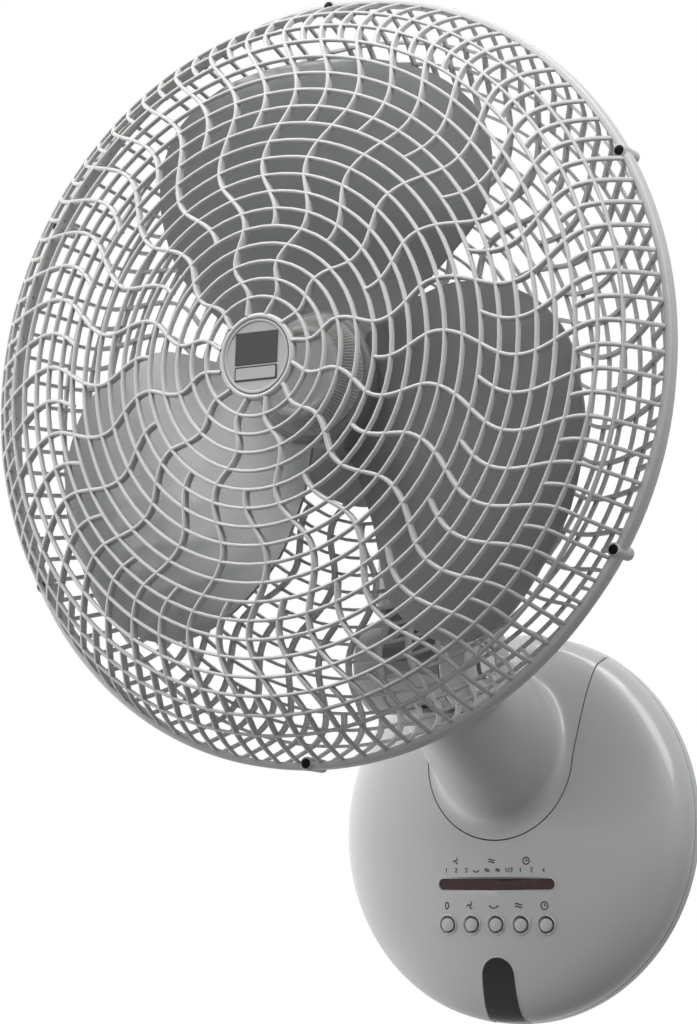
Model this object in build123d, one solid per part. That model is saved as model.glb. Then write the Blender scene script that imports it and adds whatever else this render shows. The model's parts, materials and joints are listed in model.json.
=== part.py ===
from build123d import *
import math
import os

# Wall mounted fan with a domed guard, three broad blades, a swinging and tilting head,
# and a round wall base with five push buttons.
# Millimetres. The wall is the plane y = 0, the fan blows towards -Y and +Z is up.
# The origin is the centre of the back plate on the wall.

# ---------------------------------------------------------------- driving sizes
AXIS_Z = 235.5            # height of the fan axis above the base centre
RIM_Y = -248.8            # plane of the guard seam, in front of the wall
RUN = 0.05                # radial running clearance of a pin in its bore
GAP = 0.3                 # clearance between moving faces
FLATNESS = 0.9            # more gives round forms more flats
SEAM = 0.2                # half width of a seam between mouldings

# wall base
BASE_R = 119.0            # outer radius of the base
PLATE_T = 3.0             # floor of the back plate
PLATE_EDGE = 6.0          # height of the back plate's edge
PLATE_RIM_W = 5.0         # width of that edge
COVER_WALL = 2.4          # wall of the front mouldings
COVER_EDGE_Y = 11.0       # where the side wall ends and the shoulder begins
BASE_SIDES = 36           # flats round the base
SHOULDER_STEPS = 3        # straight lengths that draw the shoulder
CROWN_STEPS = 2           # straight lengths that draw the crown
SHOULDER_R = 92.0         # radius where the shoulder meets the crown
SHOULDER_Y = 31.0         # depth of the dome at the shoulder
CROWN_Y = 38.0            # depth of the dome at its middle
PANEL_R = 50.0            # lower round end of the neck's U shaped panel
PANEL_Z = 40.5            # centre of that round end
PANEL_TOP_W = 60.0        # half width of the panel at the rim
PANEL_STEPS = 14          # straight lengths round the panel's lower end
BOLT_X = 110.0            # wall screw spacing, across
BOLT_Z = 110.0            # wall screw spacing, upright
BOLT_R = 2.75             # wall screw hole
COVER_SCREW_R = 1.9       # screws that hold the front mouldings
COVER_SCREW_L = 13.0
SCREW_PLAY = 0.3          # radial clearance of a plain screw hole
BOSS_W = 8.0              # width of the square bosses that take those screws
BOARD_POST_W = 6.0
NECK_BOSSES = [(-34, 12), (34, 12), (0, 100)]
COVER_BOSSES = [(-88, -10), (88, -10), (-46, -92), (46, -92)]

# neck and tilt knuckle
TILT_Y = -118.8           # tilt axis, in front of the wall
TILT_Z = 87.5             # tilt axis, above the base centre
NECK_ROOT_Y = -24.0       # where the neck leaves the panel
NECK_ROOT_Z = 44.0
NECK_ROOT_R = 45.0        # radius of the neck at the panel
NECK_TOP_R = 31.0         # radius of the neck at the knuckle
NECK_WALL = 3.2
KNUCKLE_R = 28.0          # round end of the knuckle
KNUCKLE_W = 76.0          # width over both cheeks
LUG_W = 40.0              # width of the lug between the cheeks
TILT_BOLT_R = 5.0
TILT_HEAD_R = 9.0
RECESS_R = 12.0           # round recess in each cheek, for the bolt's head and nut
RECESS_T = 3.0
TABLE_RISE = 3.0          # gap between the knuckle's round and the table above it

# swing column
COLUMN_R = 33.0
COLUMN_WALL = 2.6
TABLE_T = 6.0             # round table on top of the tilt lug
TABLE_Z = TILT_Z + KNUCKLE_R + TABLE_RISE
SWING_PIN_R = 7.0
SWING_PIN_DEPTH = 12.0    # how far the pin reaches into the tilt lug
SWING_HEAD_R = 11.0
COLUMN_FLOOR_T = 5.0
BUSH_WALL = 2.0
SWING_MOTOR_Z = 155.0
CRANK_OFFSET = 13.0       # of the swing motor's spindle, behind the column's middle

# motor
MOTOR_R = 58.0
MOTOR_WALL = 2.4
MOTOR_SPLIT_Y = -140.0    # seam of the two motor covers
MOTOR_REAR_Y = -76.0
MOTOR_NOSE_R = 26.0       # threaded nose that carries the ring nut
MOTOR_NOSE_L = 13.0
STATOR_BORE_R = 27.5
STATOR_L = 36.0
AIR_GAP = 0.5
SHAFT_R = 4.0
BEARING_R = 11.0
BEARING_L = 12.0
RING_NUT_R = 41.0
RING_NUT_T = 8.0
GRIPS = 6                 # notches round the ring nut for the fingers

# guard
RIM_R = 221.0             # outer radius of the guard
SCREW_CIRCLE_R = 218.0
SCREWS = 6
GUARD_SCREW_R = 1.2
GUARD_SCREW_L = 6.5       # how far a guard screw goes behind the seam
GUARD_HEAD_R = 2.8
GUARD_BOSS_R = 4.2
STRAND_W = 2.6            # width of every strand, seen from the front
STRAND_T = 3.0            # depth of every strand
RING_PITCH = 20.15
FIRST_RING_R = 33.4
MIDDLE_RING_R = 73.7      # the front half's second set of ribs starts here
REAR_SECOND_R = 150.0     # the rear half's second set starts at the ring beyond this
RIBS = 12                 # ribs that reach the badge ring
RIM_INNER_R = 216.8       # inner face of the rim, where the ribs end
RIM_DEPTH = 5.0           # depth of the front half's rim, in front of the seam
REAR_RIM_DEPTH = 7.0      # depth of the rear half's rim, behind the seam
RIM_STEPS = 3             # flats of the rim between two main ribs
BADGE_R = 21.0
BADGE_RING_R = 24.5
BADGE_DEPTH = 67.5
BADGE_T = 2.5
PLATE_R = 64.0            # middle plate of the rear guard
REAR_DEPTH = 61.0         # rear face of that plate, behind the guard seam
MOTOR_FRONT_Y = RIM_Y + REAR_DEPTH
FRONT_DOME = [(20, 68), (53, 67), (93.5, 62.5), (134, 56), (164, 50), (184.5, 45), (194, 40), (204, 28), (219, 5)]
REAR_DISH = [(60, 61), (93, 60.5), (133, 57.7), (164, 55.3), (184, 51), (194, 45), (204.5, 35), (219, 6)]
WAVE = [(20, 12.0), (35, 19.2), (51, 11.7), (77, 20.2), (110, 12.2), (152, 18.8), (200, 12.6), (225, 12.6)]

# blades
HUB_R = 38.5
HUB_FRONT = 10.0          # hub face in front of the guard seam
HUB_REAR = -32.0
BLADE_T = 2.6
BLADE_COLUMNS = 3
NUT_FRONT_R = 25.0
NUT_REAR_R = 34.5
NUT_L = 15.0
NUT_FLUTES = 24
FLUTE_DEPTH = 0.04        # as a share of the radius

# controls
BUTTONS = 5
BUTTON_PITCH = 17.0
BUTTON_Z = -60.3
BUTTON_R = 4.5
BUTTON_TRAVEL = 1.2
BUTTON_SIDES = 10
BUTTON_RISE = 1.4         # how far a button stands out of the cover
BEZEL_RISE = 0.6          # how far a bezel stands out of the cover
BEZEL_R = 6.4
LENS_Z = -36.0
LENS_L = 80.0
LENS_H = 6.5
LENS_STEPS = 4            # straight lengths round each end of the lens
WINDOW_Z = -91.0          # centre of the round top of the receiver window
WINDOW_R = 11.0
WINDOW_STEPS = 8          # straight lengths round the window's top
BOARD_Y = -19.0           # rear face of the circuit board
BOARD_T = 1.6
BOARD_W = 100.0
BOARD_TOP_Z = -27.0
BOARD_H = 44.0
LAMPS = 10

FAN = Pos(0, RIM_Y, AXIS_Z)


# ---------------------------------------------------------------- helpers
def flats(radius):
    """Number of flats that a round form of this radius is drawn with."""
    return max(8, 4 * round(FLATNESS * math.sqrt(radius)))


def closed_solid(faces):
    """A solid from the corners of all its faces."""
    return Solid(Shell([make_face(Polyline(*corners, close=True)).face() for corners in faces]))


def band(near, far):
    """The four-cornered faces between two loops of points."""
    count = len(near)
    return [[near[i], near[(i + 1) % count], far[(i + 1) % count], far[i]] for i in range(count)]


def turned(points, sides=0):
    """A solid turned about the Y axis from (radius, y) points; its round faces are flats."""
    count = sides or flats(max(radius for radius, y in points))
    turns = [2 * math.pi * index / count for index in range(count)]
    faces = []
    for (r0, y0), (r1, y1) in zip(points, points[1:] + points[:1]):
        near = [(r0 * math.sin(turn), y0, r0 * math.cos(turn)) for turn in turns]
        far = [(r1 * math.sin(turn), y1, r1 * math.cos(turn)) for turn in turns]
        if r0 and r1:
            faces += band(near, far)
        elif y0 == y1:
            faces.append(near if r0 else far)
        elif r0 or r1:
            rim, tip = (near, far[0]) if r0 else (far, near[0])
            faces += [[rim[i - 1], rim[i], tip] for i in range(count)]
    return closed_solid(faces).clean()


def prism(sides, radius, y0, y1, x=0.0, z=0.0):
    """A prism along Y with flat sides."""
    return through(Pos(x, z) * RegularPolygon(radius, sides), y0, y1)


def rod(radius, y0, y1, x=0.0, z=0.0):
    """A round form along Y, drawn with flats."""
    return prism(flats(radius), radius, y0, y1, x, z)


def cross_rod(radius, width, y, z, x=0.0):
    """A round form along X, drawn with flats."""
    bar = extrude(RegularPolygon(radius, flats(radius)), amount=width / 2, both=True)
    return Pos(x, y, z) * Rot(0, 90, 0) * bar


def post(radius, z0, z1, x=0.0, y=0.0):
    """An upright round form, drawn with flats."""
    bar = extrude(RegularPolygon(radius, flats(radius)), amount=(z1 - z0) / 2, both=True)
    return Pos(x, y, (z0 + z1) / 2) * bar


def round_about(radius):
    """Corner radius of a form whose flats just clear a round pin of this radius."""
    return (radius + RUN) / math.cos(math.pi / flats(radius))


def true_rod(radius, y0, y1, x=0.0, z=0.0):
    """A truly round rod along Y, for the shaft and the wall screws."""
    return Pos(x, (y0 + y1) / 2, z) * Rot(90, 0, 0) * Cylinder(radius, abs(y1 - y0))


def true_cross_rod(radius, width, y, z):
    """A truly round rod along X, for the tilt bolt."""
    return Pos(0, y, z) * Rot(0, 90, 0) * Cylinder(radius, width)


def true_post(radius, z0, z1, y):
    """A truly round upright post, for the swing pin."""
    return Pos(0, y, (z0 + z1) / 2) * Cylinder(radius, z1 - z0)


def block(x, y, z, dx, dy, dz):
    return Pos(x, y, z) * Box(dx, dy, dz)


def square_post(width, y0, y1, x, z):
    return block(x, (y0 + y1) / 2, z, width, abs(y1 - y0), width)


def through(outline, y0, y1):
    """Extrudes a face drawn in X and Z along Y, from y0 to y1."""
    face = Plane(origin=(0, y0, 0), x_dir=(1, 0, 0), z_dir=(0, -1, 0)) * outline
    return extrude(face, amount=abs(y1 - y0), dir=(0, math.copysign(1, y1 - y0), 0))


def save(part, name):
    solids = part.solids()
    export_step(solids[0] if len(solids) == 1 else Compound(list(solids)), f"parts/{name}.step")


# ---------------------------------------------------------------- wall base
def dome_y(radius, skin=0.0):
    """Depth of the round crown at a radius inside the shoulder."""
    drop = CROWN_Y - SHOULDER_Y
    sphere_r = (SHOULDER_R ** 2 + drop ** 2) / (2 * drop)
    return CROWN_Y - skin - sphere_r + math.sqrt(sphere_r ** 2 - radius ** 2)


def dome_solid(skin):
    """The body of the dome, drawn inwards by a skin thickness."""
    rim = BASE_R - skin
    rise = SHOULDER_Y - COVER_EDGE_Y
    run = BASE_R - SHOULDER_R
    points = [(0, -PLATE_EDGE), (rim, -PLATE_EDGE), (rim, -COVER_EDGE_Y)]
    for step in range(1, SHOULDER_STEPS):
        turn = math.pi / 2 * step / SHOULDER_STEPS
        out, up = (run - skin) * math.cos(turn), (rise - skin) * math.sin(turn)
        points.append((SHOULDER_R + out, -COVER_EDGE_Y - up))
    for step in range(CROWN_STEPS + 1):
        radius = SHOULDER_R * (1 - step / CROWN_STEPS)
        points.append((radius, -dome_y(radius, skin)))
    return turned(points, BASE_SIDES)


def arc_points(radius, z, first, last, steps):
    """Points on an arc about (0, z) in X and Z; 0 degrees is +X and 90 is +Z."""
    turns = [math.radians(first + (last - first) * index / steps) for index in range(steps + 1)]
    return [(radius * math.cos(turn), z + radius * math.sin(turn)) for turn in turns]


def panel_outline(grow):
    """The U shaped outline of the neck's panel, in X and Z."""
    half = PANEL_R + grow
    top = PANEL_TOP_W + grow
    points = arc_points(half, PANEL_Z, 180, 360, PANEL_STEPS)
    return make_face(Polyline(*points, (top, BASE_R + 5), (-top, BASE_R + 5), close=True))


def neck_axis():
    """Start and direction of the neck, from the panel to the knuckle."""
    start = Vector(0, NECK_ROOT_Y, NECK_ROOT_Z)
    return start, Vector(0, TILT_Y, TILT_Z) - start


def neck_cone(foot_r, head_r, length):
    """A cone along the neck, from the panel."""
    start, along = neck_axis()
    cone = turned([(0, 0), (foot_r, 0), (head_r, length), (0, length)])
    return Plane(origin=start, x_dir=(1, 0, 0), z_dir=(0, -along.Z, along.Y)) * cone


def make_neck(outer, inner):
    """Neck, U panel and the two cheeks of the knuckle, one moulding."""
    panel = (outer - inner) & through(panel_outline(-SEAM), 0, -80)
    knuckle = cross_rod(KNUCKLE_R, KNUCKLE_W, TILT_Y, TILT_Z)
    length = neck_axis()[1].length
    tube = neck_cone(NECK_ROOT_R, NECK_TOP_R, length) - inner - rod(BASE_R, -PLATE_EDGE, 10)
    neck = panel + tube + knuckle
    neck -= neck_cone(NECK_ROOT_R - NECK_WALL, NECK_TOP_R - NECK_WALL + 2.0, length - KNUCKLE_R - 6.0)
    neck -= cross_rod(KNUCKLE_R + 1.0, LUG_W + 2 * GAP, TILT_Y, TILT_Z)
    neck -= block(0, TILT_Y, TILT_Z + 20, LUG_W + 2 * GAP, 2 * KNUCKLE_R + 2, 40)
    neck -= block(0, TILT_Y - 20, TILT_Z, LUG_W + 2 * GAP, 40, 2 * KNUCKLE_R + 2)
    neck -= cross_rod(round_about(TILT_BOLT_R), KNUCKLE_W + 2, TILT_Y, TILT_Z)
    for side in (-1, 1):
        neck -= cross_rod(RECESS_R, 2 * RECESS_T, TILT_Y, TILT_Z, side * KNUCKLE_W / 2)
    return neck + cover_bosses(NECK_BOSSES)


def cover_bosses(places):
    """Screw bosses from the back plate's floor up into the skin."""
    inner = dome_solid(COVER_WALL / 2)
    bosses = None
    for x, z in places:
        room = inner + square_post(BOSS_W + 1, -PLATE_EDGE, 0, x, z)
        boss = square_post(BOSS_W, -PLATE_T, -CROWN_Y, x, z) & room
        boss -= prism(4, COVER_SCREW_R, -PLATE_T, -COVER_SCREW_L - 2, x, z)
        bosses = boss if bosses is None else bosses + boss
    return bosses


def window_outline(grow):
    """Receiver window: a round top that runs down over the base's rim."""
    radius = WINDOW_R + grow
    points = arc_points(radius, WINDOW_Z, 180, 0, WINDOW_STEPS)
    return make_face(Polyline(*points, (radius + 1, -BASE_R - 5), (-radius - 1, -BASE_R - 5), close=True))


def button_places():
    return [(index - (BUTTONS - 1) / 2) * BUTTON_PITCH for index in range(BUTTONS)]


def make_control_cover(outer, inner):
    """The round cover round the neck's panel, with its button bezels and windows."""
    cover = (outer - inner) - through(panel_outline(SEAM), 0, -80)
    for x in button_places():
        skin_y = button_skin_y(x)
        cover += prism(BUTTON_SIDES, BEZEL_R, skin_y + COVER_WALL, skin_y - BEZEL_RISE, x, BUTTON_Z)
    for x in button_places():
        cover -= prism(BUTTON_SIDES, BUTTON_R + GAP, 0, -60, x, BUTTON_Z)
    cover -= through(lens_outline(0.1), 0, -60)
    cover -= through(window_outline(0.1), 0, -60)
    return cover + cover_bosses(COVER_BOSSES)


def lens_outline(grow):
    radius = LENS_H / 2 + grow
    half = LENS_L / 2 + grow - radius
    right = [(x + half, z) for x, z in arc_points(radius, LENS_Z, -90, 90, LENS_STEPS)]
    left = [(x - half, z) for x, z in arc_points(radius, LENS_Z, 90, 270, LENS_STEPS)]
    return make_face(Polyline(*(right + left), close=True))


def make_display_lens(outer, inner):
    return (outer - inner) & through(lens_outline(0), 0, -60)


def make_receiver_window(outer, inner):
    return (outer - inner) & through(window_outline(0), 0, -60)


def bolt_places():
    return [(side * BOLT_X / 2, end * BOLT_Z / 2) for side in (-1, 1) for end in (-1, 1)]


def make_back_plate():
    """Shallow tray that is screwed to the wall."""
    inner_r = BASE_R - PLATE_RIM_W
    rim = [(BASE_R, 0), (BASE_R, -PLATE_EDGE), (inner_r, -PLATE_EDGE), (inner_r, -PLATE_T)]
    plate = turned([(0, 0)] + rim + [(0, -PLATE_T)], BASE_SIDES)
    for x, z in bolt_places():
        plate -= true_rod(BOLT_R, 1, -PLATE_T - 1, x, z)
    for x, z in NECK_BOSSES + COVER_BOSSES:
        plate -= prism(4, COVER_SCREW_R + SCREW_PLAY, 1, -PLATE_T - 1, x, z)
    for x, z in board_posts():
        plate += square_post(BOARD_POST_W, -PLATE_T, BOARD_Y, x, z)
    return plate


def board_posts():
    across = BOARD_W / 2 - 6
    return [(-across, BOARD_TOP_Z - 5), (across, BOARD_TOP_Z - 5),
            (-across, BOARD_TOP_Z - BOARD_H + 5), (across, BOARD_TOP_Z - BOARD_H + 5)]


def make_cover_screws():
    """Screws through the back plate into the bosses of the front mouldings."""
    screws = []
    for x, z in NECK_BOSSES + COVER_BOSSES:
        screws.append(prism(4, COVER_SCREW_R - RUN, -0.2, -COVER_SCREW_L, x, z))
    return Compound([solid for screw in screws for solid in screw.solids()])


def make_circuit_board():
    return block(0, BOARD_Y - BOARD_T / 2, BOARD_TOP_Z - BOARD_H / 2, BOARD_W, BOARD_T, BOARD_H)


def make_lamps():
    """Row of lamps behind the display lens."""
    pitch = (LENS_L - 10) / (LAMPS - 1)
    lamps = []
    for index in range(LAMPS):
        x = (index - (LAMPS - 1) / 2) * pitch
        lamps.append(block(x, BOARD_Y - BOARD_T - 2.0, LENS_Z, 3.0, 4.0, 3.0))
    return Compound([solid for lamp in lamps for solid in lamp.solids()])


def switch_top():
    return button_foot_y() + BUTTON_TRAVEL + GAP


def button_skin_y(x):
    """Where the cover's skin is, at the middle of a button."""
    return -dome_y(math.hypot(x, BUTTON_Z))


def button_foot_y():
    return BOARD_Y - BOARD_T - 7.5


def make_switches():
    """Small push switches on the board, one under each button."""
    switches = []
    for x in button_places():
        base = BOARD_Y - BOARD_T
        body = block(x, base - 1.75, BUTTON_Z, 6.0, 3.5, 6.0)
        body += block(x, (base - 3.0 + switch_top()) / 2, BUTTON_Z, 3.0, base - 3.0 - switch_top(), 3.0)
        switches.append(body)
    return Compound([solid for switch in switches for solid in switch.solids()])


def make_button(x):
    """Round push button with a collar that keeps it behind the cover."""
    side = 2 * BUTTON_R + 2.0
    reach = math.hypot(abs(x) + side / 2, side / 2 - BUTTON_Z)
    collar_y = -dome_y(reach, COVER_WALL) + 0.8
    button = prism(BUTTON_SIDES, BUTTON_R, button_skin_y(x) - BUTTON_RISE, collar_y + 0.5, x, BUTTON_Z)
    button += block(x, collar_y + 0.5, BUTTON_Z, side, 1.0, side)
    button += block(x, (collar_y + button_foot_y()) / 2, BUTTON_Z, 4.0, button_foot_y() - collar_y, 4.0)
    return button


def make_transformer():
    core = block(-62, -PLATE_T - 10, 8, 30, 20, 34)
    return core + block(-62, -PLATE_T - 10, 8, 38, 16, 20)


def make_terminal_block():
    return block(66, -PLATE_T - 6, 8, 30, 12, 16)


# ---------------------------------------------------------------- tilt knuckle
def make_tilt_bolt():
    bolt = true_cross_rod(TILT_BOLT_R, KNUCKLE_W, TILT_Y, TILT_Z)
    return bolt + cross_rod(TILT_HEAD_R, RECESS_T, TILT_Y, TILT_Z, (KNUCKLE_W - RECESS_T) / 2)


def make_tilt_nut():
    middle_x = (RECESS_T - KNUCKLE_W) / 2
    outline = RegularPolygon(TILT_HEAD_R - 0.5, 6)
    hexagon = Pos(middle_x, TILT_Y, TILT_Z) * Rot(0, 90, 0) * extrude(outline, RECESS_T / 2, both=True)
    bore = cross_rod(round_about(TILT_BOLT_R), 2 * RECESS_T, TILT_Y, TILT_Z, middle_x)
    return hexagon - bore


def make_tilt_bracket():
    """Lug between the cheeks, under a round table that carries the head."""
    lug = cross_rod(KNUCKLE_R - 0.5, LUG_W, TILT_Y, TILT_Z)
    lug += block(0, TILT_Y, (TILT_Z + TABLE_Z) / 2, LUG_W, LUG_W, TABLE_Z - TILT_Z)
    table = post(COLUMN_R, TABLE_Z, TABLE_Z + TABLE_T, 0, TILT_Y)
    bracket = lug + table
    bracket -= cross_rod(round_about(TILT_BOLT_R), LUG_W + 2, TILT_Y, TILT_Z)
    bracket -= post(SWING_PIN_R, TABLE_Z - SWING_PIN_DEPTH, TABLE_Z + TABLE_T + 1, 0, TILT_Y)
    return bracket


def column_foot():
    return TABLE_Z + TABLE_T + GAP


def make_swing_pin():
    """Upright pin that the whole head turns on."""
    top = column_foot() + COLUMN_FLOOR_T + 1.0
    pin = true_post(SWING_PIN_R, TABLE_Z + TABLE_T, top, TILT_Y)
    pin += post(SWING_PIN_R, TABLE_Z - SWING_PIN_DEPTH, TABLE_Z + TABLE_T, 0, TILT_Y)
    return pin + post(SWING_HEAD_R, top, top + 2.0, 0, TILT_Y)


def make_swing_bush():
    """Bush in the floor of the column."""
    foot = column_foot()
    bush = post(SWING_PIN_R + BUSH_WALL, foot, foot + COLUMN_FLOOR_T + 0.7, 0, TILT_Y)
    return bush - post(round_about(SWING_PIN_R), foot - 1, foot + 20, 0, TILT_Y)


def make_swing_column():
    """Round housing under the motor, with the swing motor inside."""
    foot = column_foot()
    column = post(COLUMN_R, foot, AXIS_Z, 0, TILT_Y)
    column -= post(COLUMN_R - COLUMN_WALL, foot + COLUMN_FLOOR_T, AXIS_Z + 1, 0, TILT_Y)
    column -= post(SWING_PIN_R + BUSH_WALL, foot - 1, foot + 20, 0, TILT_Y)
    column -= rod(MOTOR_R, -20, -220, 0, AXIS_Z)
    return column


def make_swing_motor():
    body = post(24.5, SWING_MOTOR_Z, SWING_MOTOR_Z + 16.0, 0, TILT_Y)
    ears = block(0, TILT_Y, SWING_MOTOR_Z + 2.0, 2 * (COLUMN_R - COLUMN_WALL) - 3.0, 10, 4.0)
    return body + ears


def make_swing_crank():
    """Crank on the swing motor's spindle, with its driving pin."""
    y = TILT_Y + CRANK_OFFSET
    crank = Pos(2.5, y, SWING_MOTOR_Z - 3.0 - GAP) * Box(13.0, 8.0, 6.0)
    return crank + Pos(5.0, y, SWING_MOTOR_Z - 9.0) * Box(4.0, 4.0, 7.0)


# ---------------------------------------------------------------- motor
def make_motor_front_cover():
    """Front bell of the motor, with the nose that carries the ring nut."""
    wall = MOTOR_WALL
    nose_y = MOTOR_FRONT_Y - MOTOR_NOSE_L
    cover = turned([
        (0, MOTOR_FRONT_Y), (MOTOR_R - 8, MOTOR_FRONT_Y), (MOTOR_R, MOTOR_FRONT_Y + 8), (MOTOR_R, MOTOR_SPLIT_Y),
        (MOTOR_R - wall, MOTOR_SPLIT_Y), (MOTOR_R - wall, MOTOR_FRONT_Y + 9), (MOTOR_R - 9, MOTOR_FRONT_Y + wall),
        (0, MOTOR_FRONT_Y + wall),
    ])
    cover += rod(MOTOR_NOSE_R, nose_y, MOTOR_FRONT_Y + 1)
    cover -= rod(BEARING_R, nose_y - 1, MOTOR_FRONT_Y + wall + 1)
    return Pos(0, 0, AXIS_Z) * cover


def make_motor_rear_cover():
    """Rear bell of the motor, with a ring of vents."""
    wall = MOTOR_WALL
    rear = MOTOR_REAR_Y
    cover = turned([
        (MOTOR_R, MOTOR_SPLIT_Y), (MOTOR_R, rear - 24), (MOTOR_R - 6, rear - 9), (MOTOR_R - 24, rear), (0, rear),
        (0, rear - wall), (MOTOR_R - 26, rear - wall), (MOTOR_R - wall, rear - 24), (MOTOR_R - wall, MOTOR_SPLIT_Y),
    ])
    seat = rod(BEARING_R + 3, rear - wall, rear - 20) - rod(BEARING_R, rear - wall - 1, rear - 21)
    cover += seat
    for index in range(6):
        cover -= Rot(0, 60 * index, 0) * block(0, rear, 24, 4, 16, 14)
    return Pos(0, 0, AXIS_Z) * cover


def make_stator():
    """Laminated core of the motor, with its winding."""
    middle = MOTOR_SPLIT_Y - 4
    half = STATOR_L / 2
    core = rod(MOTOR_R - MOTOR_WALL, middle - half, middle + half)
    core -= rod(STATOR_BORE_R, middle - half - 1, middle + half + 1)
    return Pos(0, 0, AXIS_Z) * core


def make_rotor_core():
    middle = MOTOR_SPLIT_Y - 4
    half = STATOR_L / 2 + 2
    core = rod(STATOR_BORE_R - AIR_GAP, middle - half, middle + half)
    return Pos(0, 0, AXIS_Z) * (core - rod(round_about(SHAFT_R), middle - half - 1, middle + half + 1))


def make_bearings():
    """Two like bearings, in the front nose and in the rear cover's seat."""
    bearings = []
    for front in (MOTOR_FRONT_Y - MOTOR_NOSE_L, MOTOR_REAR_Y - 20):
        ring = rod(BEARING_R, front, front + BEARING_L)
        ring -= rod(round_about(SHAFT_R), front - 1, front + BEARING_L + 1)
        bearings.append(Pos(0, 0, AXIS_Z) * ring)
    return Compound([solid for bearing in bearings for solid in bearing.solids()])


def make_motor_shaft():
    front = RIM_Y - HUB_FRONT - NUT_L + 4
    return Pos(0, 0, AXIS_Z) * true_rod(SHAFT_R, front, MOTOR_REAR_Y - 8)


def make_ring_nut():
    """Ring nut that clamps the rear guard on the motor's nose."""
    front = MOTOR_FRONT_Y - STRAND_T - RING_NUT_T
    nut = rod(RING_NUT_R, front, MOTOR_FRONT_Y - STRAND_T)
    nut -= rod(MOTOR_NOSE_R, front - 1, MOTOR_FRONT_Y)
    for index in range(GRIPS):
        nut -= Rot(0, 360 / GRIPS * index, 0) * block(0, front, RING_NUT_R, 8, 2 * RING_NUT_T - 4, 6)
    return Pos(0, 0, AXIS_Z) * nut


# ---------------------------------------------------------------- guard
def along_curve(points, radius):
    """Straight-line value between the two points that a radius lies between."""
    for (r0, v0), (r1, v1) in zip(points, points[1:]):
        if r0 <= radius <= r1:
            return v0 + (v1 - v0) * (radius - r0) / (r1 - r0)
    return points[-1][1]


def wave_angle(radius):
    """Angle of a rib at a radius: it swings between turning points with eased ends."""
    for (r0, a0), (r1, a1) in zip(WAVE, WAVE[1:]):
        if r0 <= radius <= r1:
            eased = (1 - math.cos(math.pi * (radius - r0) / (r1 - r0))) / 2
            return a0 + (a1 - a0) * eased
    return WAVE[-1][1]


def flat_corner(reach, angle, offset, depth):
    """A point on a flat that faces an angle, at a distance from the axis and off its middle."""
    turn = math.radians(angle)
    x = reach * math.sin(turn) + offset * math.cos(turn)
    z = reach * math.cos(turn) - offset * math.sin(turn)
    return Vector(x, depth, z)


def rib_end(reach, angle, depth, side):
    """The four corners of a rib's end: front left, front right, rear right, rear left."""
    half = STRAND_W / 2
    rear = depth - side * STRAND_T
    return [flat_corner(reach, angle, -half, depth), flat_corner(reach, angle, half, depth),
            flat_corner(reach, angle, half, rear), flat_corner(reach, angle, -half, rear)]


def rib_block(near, far):
    """A rib between two ends; the faces that may twist are split in two triangles."""
    faces = [near, far]
    for index in range(4):
        following = (index + 1) % 4
        faces.append([near[index], near[following], far[following]])
        faces.append([near[index], far[following], far[index]])
    return closed_solid(faces)


def flat_reach(radius):
    """Distance of a ring's flats from the axis, for corners at a radius."""
    return radius * math.cos(math.pi / (2 * RIBS))


def rib_piece(profile, side, r0, r1, shift):
    """A rib from the outer flat of one ring to the inner flat of the next."""
    half = STRAND_W / 2
    near = rib_end(flat_reach(r0 + half), wave_angle(r0) + shift, side * along_curve(profile, r0), side)
    far = rib_end(flat_reach(r1 - half), wave_angle(r1) + shift, side * along_curve(profile, r1), side)
    return rib_block(near, far)


def ring_sector(inner_r, outer_r, y0, y1, first, steps):
    """One sector of a ring, made of straight lengths."""
    inner, outer = [], []
    for index in range(steps + 1):
        turn = math.radians(first + 360 / RIBS * index / steps)
        inner.append((inner_r * math.sin(turn), inner_r * math.cos(turn)))
        outer.append((outer_r * math.sin(turn), outer_r * math.cos(turn)))
    return through(make_face(Polyline(*(inner + outer[::-1]), close=True)), y0, y1)


def rib_sets(radius, second_r):
    """Shifts of the ribs that leave a radius, in degrees from the first rib of a sector."""
    if radius < second_r:
        return [0]
    return [0, 180 / RIBS]


def guard_sector(profile, side, rings, second_r, rim_depth):
    """One repeat of the guard's pattern; its second set of ribs starts at second_r."""
    pieces = []
    half = STRAND_W / 2
    for index, radius in enumerate(rings):
        if index:
            front = side * along_curve(profile, radius)
            rear = front - side * STRAND_T
            first = wave_angle(radius) - 90 / RIBS
            pieces.append(ring_sector(radius - half, radius + half, front, rear, first, 2))
        if index + 1 < len(rings):
            for shift in rib_sets(radius, second_r):
                pieces.append(rib_piece(profile, side, radius, rings[index + 1], shift))
    rim_flat = math.cos(math.pi / (RIM_STEPS * RIBS))
    last = rings[-1]
    for shift in rib_sets(last, second_r):
        front = side * along_curve(profile, last)
        near = rib_end(flat_reach(last + half), wave_angle(last) + shift, front, side)
        far = rib_end(RIM_INNER_R * rim_flat, wave_angle(RIM_INNER_R) + shift, side * rim_depth, side)
        pieces.append(rib_block(near, far))
    pieces.append(ring_sector(RIM_INNER_R, RIM_R, side * rim_depth, 0,
                              wave_angle(RIM_INNER_R) - 180 / RIBS / RIM_STEPS, RIM_STEPS))
    return pieces


def guard_mesh(pieces, extra):
    """Fuses a sector's pieces, repeats the sector all round and fuses the copies."""
    sector = pieces[0].fuse(*pieces[1:])
    copies = [Rot(0, 360 / RIBS * index, 0) * sector for index in range(RIBS)]
    return copies[0].fuse(*copies[1:], *extra)


def screw_angles():
    return [360 / SCREWS * index for index in range(SCREWS)]


def rim_bosses(y0, y1, radius, sides=6):
    """A prism on the rim at each screw."""
    bosses = []
    for angle in screw_angles():
        bosses.append(Rot(0, angle, 0) * prism(sides, radius, y0, y1, 0, SCREW_CIRCLE_R))
    return bosses


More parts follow.
